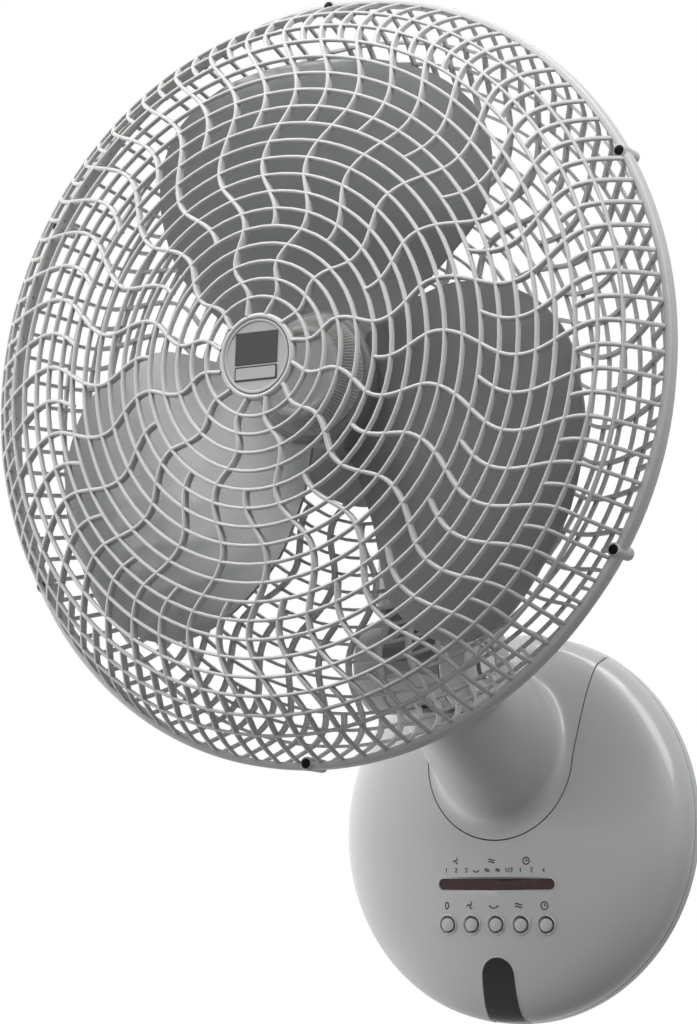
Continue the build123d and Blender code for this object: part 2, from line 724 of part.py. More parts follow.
def drill_rim(guard, radius, y0, y1):
    for angle in screw_angles():
        guard -= Rot(0, angle, 0) * prism(4, radius, y0, y1, 0, SCREW_CIRCLE_R)
    return guard


def make_front_guard():
    """Domed front grille: badge ring, rings, wavy ribs in two sets and the rim."""
    rings = [BADGE_RING_R - STRAND_W / 2] + [FIRST_RING_R + RING_PITCH * step for step in (1, 2, 4, 6, 8)]
    pieces = guard_sector(FRONT_DOME, -1, rings, MIDDLE_RING_R - 1, RIM_DEPTH)
    first = wave_angle(rings[0]) - 90 / RIBS
    rear = STRAND_T + 1 - BADGE_DEPTH
    pieces.append(ring_sector(BADGE_R + GAP, BADGE_RING_R, -BADGE_DEPTH, rear, first, 2))
    pieces.append(ring_sector(BADGE_R - 3, BADGE_RING_R - 1, BADGE_T - BADGE_DEPTH, rear, first, 1))
    guard = guard_mesh(pieces, rim_bosses(0, -RIM_DEPTH, GUARD_BOSS_R))
    return FAN * drill_rim(guard, GUARD_SCREW_R + SCREW_PLAY, 1, -RIM_DEPTH - 1)


def make_rear_guard():
    """Dished rear grille of the same pattern, with a plate on the motor's nose."""
    rings = [PLATE_R - STRAND_W / 2] + [MIDDLE_RING_R + RING_PITCH * step for step in (2, 4, 6)]
    pieces = guard_sector(REAR_DISH, 1, rings, REAR_SECOND_R, REAR_RIM_DEPTH)
    first = wave_angle(rings[0]) - 90 / RIBS
    pieces.append(ring_sector(MOTOR_NOSE_R + 3, PLATE_R, REAR_DEPTH, REAR_DEPTH - STRAND_T, first, 2))
    collar = rod(MOTOR_NOSE_R + 5, REAR_DEPTH, REAR_DEPTH - STRAND_T)
    guard = guard_mesh(pieces, [collar] + rim_bosses(0, REAR_RIM_DEPTH + 1, GUARD_BOSS_R))
    guard -= rod(MOTOR_NOSE_R + 0.1, 0, REAR_DEPTH + 9)
    return FAN * drill_rim(guard, GUARD_SCREW_R + RUN, -1, GUARD_SCREW_L + 0.5)


def make_guard_screws():
    """Six screws from the front through the rim into the rear half's pegs."""
    screws = []
    heads = rim_bosses(-RIM_DEPTH, -RIM_DEPTH - 1.8, GUARD_HEAD_R, 8)
    for place in heads + rim_bosses(-RIM_DEPTH, GUARD_SCREW_L, GUARD_SCREW_R, 4):
        screws.append(FAN * place)
    solids = [screws[index] + screws[index + SCREWS] for index in range(SCREWS)]
    return Compound([solid for screw in solids for solid in screw.solids()])


def make_badge():
    return FAN * rod(BADGE_R, GAP - BADGE_DEPTH, BADGE_T - BADGE_DEPTH)


# ---------------------------------------------------------------- blades
def blade_row(height, trail, lead, trail_front, lead_front, camber):
    """Points across a blade at one height: x, depth in front of the seam, height."""
    row = []
    for index in range(BLADE_COLUMNS + 1):
        share = index / BLADE_COLUMNS
        x = trail + (lead - trail) * share
        front = trail_front + (lead_front - trail_front) * share + camber * 4 * share * (1 - share)
        row.append((x, front, height))
    return row


def blade_grid():
    """Rows of one blade from the hub to the tip, drawn with the blade upright."""
    return [
        blade_row(10, -30, 24, 6, -12, 0),
        blade_row(62, -83, 60, 19, -23, 3),
        blade_row(90, -96.5, 88, 23, -22, 4),
        blade_row(124, -101, 96, 26, -19, 5),
        blade_row(150, -90, 88, 26, -15, 5),
        blade_row(164, -73, 75, 24, -11, 4),
        blade_row(175, -53, 57, 20, -6, 3),
        blade_row(182, -30, 33, 14, 1, 1),
        blade_row(185, -7, 9, 8, 5, 0),
    ]


def blade_loop(face_side):
    """Grid of corner points on one face of the blade sheet."""
    shift = face_side * BLADE_T / 2
    return [[(x, -(front + shift), height) for x, front, height in row] for row in blade_grid()]


def triangles(a, b, c, d):
    return [[a, b, c], [a, c, d]]


def make_blade():
    """One blade: a thin twisted sheet with the outline of a broad rounded lobe."""
    near, far = blade_loop(1), blade_loop(-1)
    rows, columns = len(near), BLADE_COLUMNS
    faces = []
    for i in range(rows - 1):
        for j in range(columns):
            for grid in (near, far):
                faces += triangles(grid[i][j], grid[i][j + 1], grid[i + 1][j + 1], grid[i + 1][j])
        for j in (0, columns):
            faces += triangles(near[i][j], near[i + 1][j], far[i + 1][j], far[i][j])
    for i in (0, rows - 1):
        for j in range(columns):
            faces += triangles(near[i][j], near[i][j + 1], far[i][j + 1], far[i][j])
    return closed_solid(faces)


def make_fan_blades():
    """Hub and three blades, one moulding."""
    blade = make_blade()
    fan = rod(HUB_R, -HUB_FRONT, -HUB_REAR)
    for index in range(3):
        fan += Rot(0, 120 * index, 0) * blade
    fan -= rod(HUB_R - 4, -HUB_REAR + 1, -HUB_FRONT + 6)
    fan += rod(9, -HUB_FRONT + 1, -HUB_REAR - 4)
    fan -= rod(round_about(SHAFT_R), -HUB_FRONT - 5, -HUB_REAR + 5)
    return FAN * fan


def fluted_loop(radius, y):
    """Toothed outline of the nut at one depth."""
    loop = []
    for index in range(2 * NUT_FLUTES):
        turn = math.pi * index / NUT_FLUTES
        reach = radius * (1 - FLUTE_DEPTH) if index % 2 else radius
        loop.append((reach * math.sin(turn), y, reach * math.cos(turn)))
    return loop


def make_blade_nut():
    """Fluted cone nut that holds the hub on the shaft."""
    front = -HUB_FRONT - NUT_L
    near, far = fluted_loop(NUT_FRONT_R, front), fluted_loop(NUT_REAR_R, -HUB_FRONT)
    nut = closed_solid([near, far] + band(near, far))
    return FAN * (nut - rod(round_about(SHAFT_R), front + 4, 0))


# ---------------------------------------------------------------- build
def build():
    outer = dome_solid(0)
    inner = dome_solid(COVER_WALL)
    yield "back_plate", make_back_plate()
    yield "neck", make_neck(outer, inner)
    yield "control_cover", make_control_cover(outer, inner)
    yield "display_lens", make_display_lens(outer, inner)
    yield "receiver_window", make_receiver_window(outer, inner)
    yield "cover_screws", make_cover_screws()
    yield "circuit_board", make_circuit_board()
    yield "lamps", make_lamps()
    yield "switches", make_switches()
    for index, x in enumerate(button_places()):
        yield f"button_{index + 1}", make_button(x)
    yield "transformer", make_transformer()
    yield "terminal_block", make_terminal_block()
    yield "tilt_bolt", make_tilt_bolt()
    yield "tilt_nut", make_tilt_nut()
    yield "tilt_bracket", make_tilt_bracket()
    yield "swing_pin", make_swing_pin()
    yield "swing_bush", make_swing_bush()
    yield "swing_column", make_swing_column()
    yield "swing_motor", make_swing_motor()
    yield "swing_crank", make_swing_crank()
    yield "motor_front_cover", make_motor_front_cover()
    yield "motor_rear_cover", make_motor_rear_cover()
    yield "stator", make_stator()
    yield "rotor_core", make_rotor_core()
    yield "bearings", make_bearings()
    yield "motor_shaft", make_motor_shaft()
    yield "ring_nut", make_ring_nut()
    yield "rear_guard", make_rear_guard()
    yield "front_guard", make_front_guard()
    yield "guard_screws", make_guard_screws()
    yield "badge", make_badge()
    yield "fan_blades", make_fan_blades()
    yield "blade_nut", make_blade_nut()


os.makedirs("parts", exist_ok=True)
for node, part in build():
    save(part, node)
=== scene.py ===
# %% [markdown]
# A wall mounted fan. The real one is almost all injection-moulded plastic: a pale grey guard in two
# domed halves, three broad grey blades, and a round wall base with five push buttons. The solid model
# comes in first as a frame, in metres, with the wall at y = 0, the fan blowing towards -Y and +Z up.
# Everything below is dressed onto that frame, so each piece goes where the frame says.

# %% Load the frame
import json
import math
import bmesh
import bpy
from mathutils import Matrix, Vector
from mathutils.geometry import delaunay_2d_cdt

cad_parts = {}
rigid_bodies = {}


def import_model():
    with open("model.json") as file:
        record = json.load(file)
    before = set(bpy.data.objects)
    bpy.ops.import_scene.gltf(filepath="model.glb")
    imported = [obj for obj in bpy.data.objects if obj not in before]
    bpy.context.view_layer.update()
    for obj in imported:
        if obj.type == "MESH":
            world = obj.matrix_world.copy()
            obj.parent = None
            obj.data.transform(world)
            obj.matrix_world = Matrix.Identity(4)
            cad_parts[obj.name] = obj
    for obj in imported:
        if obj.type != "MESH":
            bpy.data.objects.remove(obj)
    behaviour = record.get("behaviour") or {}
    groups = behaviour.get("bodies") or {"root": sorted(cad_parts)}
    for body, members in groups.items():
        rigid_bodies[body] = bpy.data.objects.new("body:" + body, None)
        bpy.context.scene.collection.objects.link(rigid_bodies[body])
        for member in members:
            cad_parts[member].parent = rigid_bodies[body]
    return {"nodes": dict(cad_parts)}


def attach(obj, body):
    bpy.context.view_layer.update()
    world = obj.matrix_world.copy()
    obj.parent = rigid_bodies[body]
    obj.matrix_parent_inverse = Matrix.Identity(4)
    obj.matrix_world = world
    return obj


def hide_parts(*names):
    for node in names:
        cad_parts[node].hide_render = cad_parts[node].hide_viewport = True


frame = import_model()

MM = 0.001
nodes = frame["nodes"]
scene_objects = bpy.context.scene.collection.objects
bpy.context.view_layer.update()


# %% [markdown]
# The camera stands to the right of the fan, a little below it, with a long lens. A long lens keeps the
# round guard from looking stretched, as in a product picture.

# %% Camera
camera_data = bpy.data.cameras.new("camera")
camera_data.lens = 113.6
camera = bpy.data.objects.new("camera", camera_data)
scene_objects.link(camera)
right = Vector((0.8498, 0.5264, 0.0276))
up = Vector((0.0633, -0.1540, 0.9860))
back = Vector((0.5234, -0.8361, -0.1642))
turn = Matrix((right, up, back)).transposed().to_4x4()
camera.matrix_world = Matrix.Translation((0.9626, -1.7541, -0.1375)) @ turn
bpy.context.scene.camera = camera
print("camera at", [round(v, 3) for v in camera.location])

# %% [markdown]
# Sizes that several pieces share, in millimetres. They follow the solids.

# %% Shared sizes
AXIS_Z = 235.5            # height of the fan axis
RIM_Y = -248.8            # plane of the guard seam
RIM_INNER, RIM_OUTER = 216.8, 220.8
BASE_R = 119.0
BUTTON_Z = -60.3
BUTTON_PITCH = 17.0
BUTTONS = [(index - 2) * BUTTON_PITCH for index in range(5)]
TILT_Y, TILT_Z = -118.8, 87.5
print("buttons at x, mm:", BUTTONS)


def on_axis(x, depth, z):
    """A point given from the middle of the guard seam, in metres in the model's frame."""
    return Vector((x, RIM_Y + depth, AXIS_Z + z)) * MM


# %% [markdown]
# One way to make a mesh is enough for nearly every piece: a list of points and a list of faces. Smooth
# shading with a limit on the angle keeps rims crisp and round walls soft.

# %% Mesh helpers
class Shape:
    """Gathers points and faces of several forms that become one piece."""

    def __init__(self):
        self.points = []
        self.faces = []

    def grid(self, rows, closed=False):
        """Joins rows of equal length with four-cornered faces."""
        start = len(self.points)
        count = len(rows[0])
        for row in rows:
            self.points += row
        for i in range(len(rows) - 1):
            for j in range(count if closed else count - 1):
                a = start + i * count + j
                b = start + i * count + (j + 1) % count
                self.faces.append((a, b, b + count, a + count))

    def cap(self, loop):
        """One face over a loop of points."""
        start = len(self.points)
        self.points += loop
        self.faces.append(tuple(range(start, start + len(loop))))

    def piece(self, name, material, smooth_angle=40):
        """Adds a mesh object from points in metres; its edges over the angle stay sharp."""
        mesh = bpy.data.meshes.new(name)
        mesh.from_pydata([tuple(point) for point in self.points], [], self.faces)
        mesh.validate()
        work = bmesh.new()
        work.from_mesh(mesh)
        bmesh.ops.remove_doubles(work, verts=work.verts, dist=1e-6)
        bmesh.ops.recalc_face_normals(work, faces=work.faces)
        work.to_mesh(mesh)
        work.free()
        mesh.shade_smooth()
        mesh.set_sharp_from_angle(angle=math.radians(smooth_angle))
        mesh.materials.append(material)
        made = bpy.data.objects.new(name, mesh)
        scene_objects.link(made)
        return made


def full_turn(steps):
    """Evenly spaced angles once round, in radians."""
    return [2 * math.pi * index / steps for index in range(steps)]


def circle_points(radius, y, steps, z=AXIS_Z, x=0.0):
    """Points of a circle round a line along Y, in metres."""
    return [Vector((x + radius * math.sin(t), y, z + radius * math.cos(t))) * MM for t in full_turn(steps)]


def turned(shape, profile, steps, z=AXIS_Z, x=0.0):
    """Turns a profile of (radius, y) points about a line along Y."""
    shape.grid([circle_points(radius, y, steps, z, x) for radius, y in profile], closed=True)


def bow(start, corner, end, t):
    """A point at a share t of the curve that leaves start and reaches end along the sides of a corner."""
    return start * (1 - t) ** 2 + corner * 2 * t * (1 - t) + end * t * t


def rounded(points, radius, steps=4):
    """Rounds the inner corners of an open line of (a, b) points."""
    result = [points[0]]
    for three in zip(points, points[1:], points[2:]):
        before, corner, after = [Vector(point) for point in three]
        reach = min(radius, (before - corner).length / 2, (after - corner).length / 2)
        start = corner + (before - corner).normalized() * reach
        end = corner + (after - corner).normalized() * reach
        result += [tuple(bow(start, corner, end, index / steps)) for index in range(steps + 1)]
    result.append(points[-1])
    return result


# %% [markdown]
# Plastics. ABS is the usual plastic of such housings: it comes out of a fine-textured steel mould with a
# soft sheen. Its index of refraction is about 1.53. The real texture has grains of roughly 0.1 mm, too
# fine for a whole view, so the bump is drawn at 0.6 mm, where it just breaks up the highlight.

# %% Materials helpers
def linear(code):
    """Turns an sRGB hex colour into the linear values that the shader wants."""
    channels = [int(code[i:i + 2], 16) / 255 for i in (1, 3, 5)]
    return [c / 12.92 if c <= 0.04045 else ((c + 0.055) / 1.055) ** 2.4 for c in channels] + [1.0]


def add_node(tree, kind, settings=None, links=None, **properties):
    """Adds a node, sets its inputs and properties and links its inputs from other nodes' outputs."""
    node = tree.nodes.new(kind)
    for key, value in properties.items():
        setattr(node, key, value)
    for key, value in (settings or {}).items():
        node.inputs[key].default_value = value
    for key, output in (links or {}).items():
        tree.links.new(output, node.inputs[key])
    return node


def empty_tree(owner):
    """The node tree of a material or world, with nothing in it yet."""
    owner.use_nodes = True
    owner.node_tree.nodes.clear()
    return owner.node_tree


def finish(name, colour_a, colour_b, roughness, ior=1.53, metallic=0.0, grain_mm=0.6, bump_mm=0.01,
           patch_mm=30.0, coat=0.0):
    """A moulded or worked surface: two close colours in soft patches and a fine bump."""
    material = bpy.data.materials.new(name)
    tree = empty_tree(material)
    place = add_node(tree, "ShaderNodeTexCoord").outputs["Object"]
    patches = add_node(tree, "ShaderNodeTexNoise", {"Scale": 1 / (patch_mm * MM), "Detail": 3.0},
                       {"Vector": place})
    colour = add_node(tree, "ShaderNodeMix", {6: linear(colour_a), 7: linear(colour_b)},
                      {0: patches.outputs["Fac"]}, data_type="RGBA")
    grain = add_node(tree, "ShaderNodeTexNoise", {"Scale": 1 / (grain_mm * MM), "Detail": 2.0},
                     {"Vector": place})
    bump = add_node(tree, "ShaderNodeBump", {"Strength": 0.6, "Distance": bump_mm * MM},
                    {"Height": grain.outputs["Fac"]})
    shine = add_node(tree, "ShaderNodeMapRange", {"To Min": roughness - 0.04, "To Max": roughness + 0.04},
                     {"Value": patches.outputs["Fac"]})
    settings = {"Metallic": metallic, "Coat Weight": coat, "Coat Roughness": 0.06}
    if metallic < 1:
        settings["IOR"] = ior
    surface = add_node(tree, "ShaderNodeBsdfPrincipled", settings,
                       {"Base Color": colour.outputs[2], "Normal": bump.outputs["Normal"],
                        "Roughness": shine.outputs["Result"]})
    add_node(tree, "ShaderNodeOutputMaterial", None, {"Surface": surface.outputs["BSDF"]})
    return material


# %% [markdown]
# The housing is moulded in a polished tool, so it has a glossier skin over its satin, drawn as a coat, and
# throws long soft streaks. The guard and the motor covers come out of a finely eroded tool and look more
# matt. The blades are a clear-based styrene plastic dyed grey: hard, smooth and a little glossy. The badge
# is a sheet printed in silver grey, without real metal in it. Lens and window are smooth tinted acrylic:
# one a dark red that hides the lamps until they are lit, one nearly black, which mirrors what is round it.
# Fasteners are steel, blackened or zinc plated, and the tilt bracket is die-cast aluminium, dull and grey.

# %% Materials
housing_abs = finish("moulded_abs_satin_white", "#B9BAB9", "#B3B4B3", 0.36, bump_mm=0.004, coat=0.5)
guard_abs = finish("moulded_abs_guard", "#C0C1BF", "#B8B9B7", 0.4, bump_mm=0.006, grain_mm=0.5)
blade_san = finish("moulded_styrene_blade", "#818384", "#7B7D7E", 0.3, ior=1.57, bump_mm=0.004, patch_mm=60)
# The motor plastic is set darker than the housing's. This is painted shade for the covers and the column,
# which lie in the shade behind the guard and the blades.
motor_abs_painted_shade = finish("moulded_abs_motor_painted_shade", "#9C9D9C", "#959695", 0.42, bump_mm=0.01)
nut_abs = finish("moulded_abs_nut", "#B9B9B7", "#B0B0AE", 0.4, bump_mm=0.006)
badge_silver = finish("silver_grey_printed_sheet", "#A6A7A8", "#9FA0A1", 0.55, bump_mm=0.003)
badge_dark = finish("printed_dark_plate", "#1E2021", "#1A1C1D", 0.6, bump_mm=0.003)
lens_acrylic = finish("tinted_acrylic_red", "#4A2025", "#170607", 0.2, patch_mm=6, ior=1.42, bump_mm=0.001)
window_acrylic = finish("black_acrylic_window", "#050505", "#080808", 0.06, ior=1.42, bump_mm=0.001)
button_abs = finish("moulded_abs_button", "#BBBBB9", "#B5B5B3", 0.3, bump_mm=0.003)
print_ink = finish("pad_printed_grey_ink", "#232526", "#1E2021", 0.5, bump_mm=0.002)
screw_steel = finish("blackened_steel_screw", "#151515", "#1E1E1E", 0.38, metallic=1.0, bump_mm=0.01)
plain_steel = finish("zinc_plated_steel", "#A9ABAD", "#9EA0A3", 0.32, metallic=1.0, bump_mm=0.01)
core_steel = finish("laminated_core_steel", "#6A6865", "#5C5A58", 0.5, metallic=1.0, bump_mm=0.03)
bracket_metal = finish("die_cast_aluminium", "#8E8F90", "#868788", 0.5, metallic=1.0, bump_mm=0.03)
bush_nylon = finish("moulded_nylon_bush", "#6B4F33", "#5F462D", 0.45)
board_glass = finish("green_circuit_board", "#1E5A36", "#1A5030", 0.35, ior=1.55)
black_phenolic_and_vent_shade = finish("black_phenolic_and_vent_shade", "#161616", "#1C1C1C", 0.4)
lamp_epoxy = finish("red_epoxy_lamp", "#A33A3A", "#9A3333", 0.2, ior=1.5)
print("materials:", len(bpy.data.materials))

# %% [markdown]
# The guard is the showpiece. Each half is one moulding, the front one of eighteen rings and the rear one of
# the outer fourteen, with ribs that swing left and right as they run out: twelve from the middle, twice as
# many from the fifth ring, and doubled again at the eleventh and the sixteenth. The sizes below were read
# off the picture: the turning points of the wave, and how deep the guard is at each radius. Curves with a
# bevel would give round wires; a moulded strand has a flat rear, so a section is swept along each path.

# %% Guard sizes
WAVE = [(20, 12.0), (35, 19.2), (51, 11.7), (77, 20.2), (110, 12.2), (152, 18.8), (200, 12.6), (225, 12.6)]
FRONT_DOME = [(20, 68), (53, 67), (73, 65), (93.5, 62.5), (114, 59.5), (134, 56), (154.5, 52), (164, 50),
              (174.5, 48), (184.5, 45), (194.6, 39.3), (204.7, 29.3), (212, 17.5), (217.6, 4.6)]
REAR_DISH = [(60, 61), (93, 60.5), (103, 59.5), (133, 57.7), (154, 56.3), (164, 55.3), (174, 54), (184, 51),
             (194, 45), (204.5, 35), (212, 20), (218, 6)]
RIB_END_R = 217.6
RING_RADII = [33.4 + 10.075 * index for index in range(18)]
SET_STARTS = [(12, 0.0, 24.0), (12, -15.0, 73.7), (24, 7.5, 134.15), (48, 3.75, 184.5)]
RING_W, RING_T = 1.9, 3.2
RIB_W, RIB_T = 2.3, 4.8
print("rings:", len(RING_RADII), "ribs at the rim:", sum(count for count, shift, start in SET_STARTS))


def smooth_depth(profile, radius):
    """Depth at a radius, smooth through the measured points."""
    last = len(profile) - 1
    index = max(i for i in range(last) if profile[i][0] <= radius)
    (r0, d0), (r1, d1) = profile[index], profile[index + 1]
    before = profile[max(index - 1, 0)]
    after = profile[min(index + 2, last)]
    slope0 = (d1 - before[1]) / (r1 - before[0])
    slope1 = (after[1] - d0) / (after[0] - r0)
    t = (radius - r0) / (r1 - r0)
    step = r1 - r0
    return ((2 * t ** 3 - 3 * t ** 2 + 1) * d0 + (t ** 3 - 2 * t ** 2 + t) * step * slope0
            + (3 * t ** 2 - 2 * t ** 3) * d1 + (t ** 3 - t ** 2) * step * slope1)


def wave_angle(radius):
    """Angle of a rib at a radius, clockwise from up, eased between its turning points."""
    for (r0, a0), (r1, a1) in zip(WAVE, WAVE[1:]):
        if r0 <= radius <= r1:
            return a0 + (a1 - a0) * (1 - math.cos(math.pi * (radius - r0) / (r1 - r0))) / 2


def strand_section(width, depth):
    """Half-round front and flat, slightly narrower rear: the shape that leaves a mould easily."""
    half = width / 2
    turns = [math.radians(a) for a in range(0, 181, 36)]
    front = [(half * math.cos(t), half * 0.8 * math.sin(t)) for t in turns]
    return front + [(-half * 0.82, -(depth - half * 0.8)), (half * 0.82, -(depth - half * 0.8))]


def sweep(shape, path, side, closed, width, depth):
    """Lays a strand along a path of points; side is -1 for the front half and 1 for the rear."""
    section = strand_section(width, depth)
    outward = Vector((0, side, 0))
    drop = width * 0.4
    rows = []
    count = len(path)
    for index, point in enumerate(path):
        before = path[index - 1] if index or closed else point
        after = path[(index + 1) % count] if index < count - 1 or closed else point
        across = (after - before).cross(outward).normalized()
        rows.append([point + across * u * MM + outward * (v - drop) * MM for u, v in section])
    if closed:
        rows.append(rows[0])
    shape.grid(rows, closed=True)


def guard_point(profile, side, radius, angle):
    """A point on the outer face of a guard half."""
    t = math.radians(angle)
    return on_axis(radius * math.sin(t), side * smooth_depth(profile, radius), radius * math.cos(t))


def build_strands(shape, profile, side, first_radius, radii):
    """All rings and ribs of one half."""
    for radius in radii:
        steps = max(48, int(radius * 0.7))
        ring = [guard_point(profile, side, radius, 360 * i / steps) for i in range(steps)]
        sweep(shape, ring, side, True, RING_W, RING_T)
    for count, shift, start in SET_STARTS:
        inner = max(start, first_radius)
        length = int((RIB_END_R - inner) / 3.2)
        stations = [inner + (RIB_END_R - inner) * step / length for step in range(length + 1)]
        for index in range(count):
            angle = shift + 360 * index / count
            path = [guard_point(profile, side, r, wave_angle(r) + angle) for r in stations]
            sweep(shape, path, side, False, RIB_W, RIB_T)


# %% [markdown]
# The two halves meet in a rim band. Six small screws go through little lugs in the front rim into pegs
# on the rear half. The rim is turned; the lugs are short rounded posts.

# %% Rim, lugs and pegs
SCREW_R = 217.6
SCREW_ANGLES = [60 * index for index in range(6)]


def screw_place(angle):
    """Where a screw stands, from the fan's axis: to the right and up."""
    t = math.radians(angle)
    return SCREW_R * math.sin(t), SCREW_R * math.cos(t)


def round_post(shape, angle, radius, y0, y1):
    """A short post along the fan's axis, its free end at y1 softened."""
    x, z = screw_place(angle)
    profile = rounded([(radius, RIM_Y + y0), (radius, RIM_Y + y1), (0.01, RIM_Y + y1)], 0.8)
    turned(shape, profile, 24, AXIS_Z + z, x)


front_shape = Shape()
build_strands(front_shape, FRONT_DOME, -1, 24.0, RING_RADII)
rim_front = rounded([(RIM_INNER, 0.2), (RIM_INNER, -3.9), (219.6, -3.7), (RIM_OUTER, -3.0), (RIM_OUTER, -0.3),
                     (220.3, 0.0)], 0.8)
turned(front_shape, [(r, RIM_Y + y) for r, y in rim_front], 192)
for angle in SCREW_ANGLES:
    round_post(front_shape, angle, 3.9, 0, -4.3)
badge_ring = rounded([(18, -63.5), (24.4, -63.5), (24.4, -66.6), (23.4, -67.6), (22.0, -67.6), (21.3, -66.8),
                      (21.3, -65.2), (18, -65.2)], 0.5)
turned(front_shape, [(r, RIM_Y + y) for r, y in badge_ring], 96)
front_guard = front_shape.piece("guard_front", guard_abs)
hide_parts("front_guard")
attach(front_guard, "head")

rear_shape = Shape()
build_strands(rear_shape, REAR_DISH, 1, 63.0, [r for r in RING_RADII if r > 70])
rim_rear = rounded([(RIM_INNER, 0.2), (RIM_INNER, 6.8), (219.6, 6.8), (220.3, 4.6), (RIM_OUTER, 4.2),
                    (RIM_OUTER, 0.5), (220.3, 0.2)], 0.8)
turned(rear_shape, [(r, RIM_Y + y) for r, y in rim_rear], 192)
for angle in SCREW_ANGLES:
    round_post(rear_shape, angle, 3.8, 0, 13.5)
plate = rounded([(26.2, 58), (26.2, 61), (62.5, 61), (64, 60), (64, 58), (26.2, 58)], 0.6)
turned(rear_shape, [(r, RIM_Y + y) for r, y in plate], 96)
rear_guard = rear_shape.piece("guard_rear", guard_abs)
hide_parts("rear_guard")
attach(rear_guard, "head")
print("guard faces:", len(front_guard.data.polygons), len(rear_guard.data.polygons))

# %% [markdown]
# The badge in the middle is a thin disc in a ring of the front half. Here it is plain: a satin silver
# disc with a raised lip, a bare dark plate and under it a bare bar with a dark edge.

# %% Badge
badge_shape = Shape()
face = rounded([(20.9, 2.4), (20.9, 0.2), (19.6, 0.2), (19.2, 0.7), (0.01, 0.55)], 0.3)
turned(badge_shape, [(r, RIM_Y - 67.5 + y) for r, y in face], 96)
badge = badge_shape.piece("badge_disc", badge_silver)
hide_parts("badge")
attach(badge, "head")


def rounded_rectangle(width, height, radius, steps=6):
    """Corner points of a rectangle with round corners, round its middle."""
    loop = []
    for cx, cz, first in ((1, 1, 0), (-1, 1, 90), (-1, -1, 180), (1, -1, 270)):
        for index in range(steps + 1):
            t = math.radians(first + 90 * index / steps)
            loop.append((cx * (width / 2 - radius) + radius * math.cos(t),
                         cz * (height / 2 - radius) + radius * math.sin(t)))
    return loop


def badge_sheet(name, width, height, middle, depth, material):
    """A thin plate on the badge, its middle at a height above the fan's axis."""
    shape = Shape()
    rows = []
    for sunk, trim in ((0.45, 0), (0.25, 0), (0, 0.4)):
        outline = rounded_rectangle(width - trim, height - trim, 0.8 - trim / 2)
        rows.append([on_axis(x, depth + sunk, z + middle) for x, z in outline])
    shape.grid(rows, closed=True)
    shape.cap(rows[-1])
    piece = shape.piece(name, material)
    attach(piece, "head")


badge_sheet("badge_plate", 27.6, 18.2, 4.6, -67.2, badge_dark)
badge_sheet("badge_bar_edge", 27.6, 8.2, -9.5, -67.2, badge_dark)
badge_sheet("badge_bar", 26.0, 6.6, -9.5, -67.35, badge_silver)
print("badge disc faces:", len(badge.data.polygons))

# %% [markdown]
# Each guard screw is a blackened pan head with a cross recess. A real dent could be cut into a turned head,
# but it is only about a pixel wide here, so two thin strips laid crosswise on the head stand for it.

# %% Guard screws
screw_shape = Shape()
for angle in SCREW_ANGLES:
    x, z = screw_place(angle)
    head = rounded([(1.2, -3.9), (2.8, -4.2), (2.8, -4.7), (1.9, -5.2), (0.01, -5.3)], 0.4)
    turned(screw_shape, [(r, RIM_Y + y) for r, y in head], 24, AXIS_Z + z, x)
    for length, width in ((2.6, 0.6), (0.6, 2.6)):
        loop = [(x + sx * length / 2, z + sz * width / 2) for sx, sz in ((-1, -1), (1, -1), (1, 1), (-1, 1))]
        screw_shape.cap([on_axis(px, -5.32, pz) for px, pz in loop])
screws = screw_shape.piece("guard_screw_heads", screw_steel)
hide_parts("guard_screws")
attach(screws, "head")
print("guard screws:", len(SCREW_ANGLES))

# %% [markdown]
# The three blades and the hub are one moulding in a smooth grey styrene plastic. A blade is a broad lobe
# of a thin twisted sheet: its leading edge lies deep in the guard and its trailing edge stands forward.
# A subdivision surface would round a coarse sheet, but would also shrink it. So the outline and the twist
# are given at a few heights, a smooth curve passes through them, and a front and a rear skin close it.

# %% Blades
BLADE_ROWS = [  # height, trailing x, leading x, trailing depth, leading depth, camber, all in mm
    (20, -36, 26, 8, -14, 0), (36, -60, 36, 13, -18, 1), (62, -84, 60, 19, -23, 3), (90, -95, 88, 23, -22, 4),
    (112, -98, 95.5, 25, -20, 5), (132, -95, 95.5, 26, -18, 5), (150, -86, 89, 26, -15, 5),
    (164, -71, 76, 24, -11, 4), (175, -54, 58, 20, -6, 3), (182, -31, 34, 14, 1, 1), (185, -8, 9, 8, 5, 0),
]
BLADE_T = 2.4


def blade_point(row, share, lift):
    """A point of a blade at a share of its width, lifted off the middle of the sheet."""
    height, trail, lead, trail_front, lead_front, camber = row
    x = trail + (lead - trail) * share
    front = trail_front + (lead_front - trail_front) * share + camber * 4 * share * (1 - share)
    return Vector((x, -(front + lift), height))


def curve_rows(rows, steps):
    """More rows between the given ones, along a smooth curve through them."""
    result = []
    for index in range(len(rows) - 1):
        before, start = rows[max(index - 1, 0)], rows[index]
        end, after = rows[index + 1], rows[min(index + 2, len(rows) - 1)]
        for step in range(steps):
            t = step / steps
            result.append(tuple(
                0.5 * (2 * b + (c - a) * t + (2 * a - 5 * b + 4 * c - d) * t * t
                       + (3 * b - a - 3 * c + d) * t ** 3)
                for a, b, c, d in zip(before, start, end, after)))
    return result + [rows[-1]]


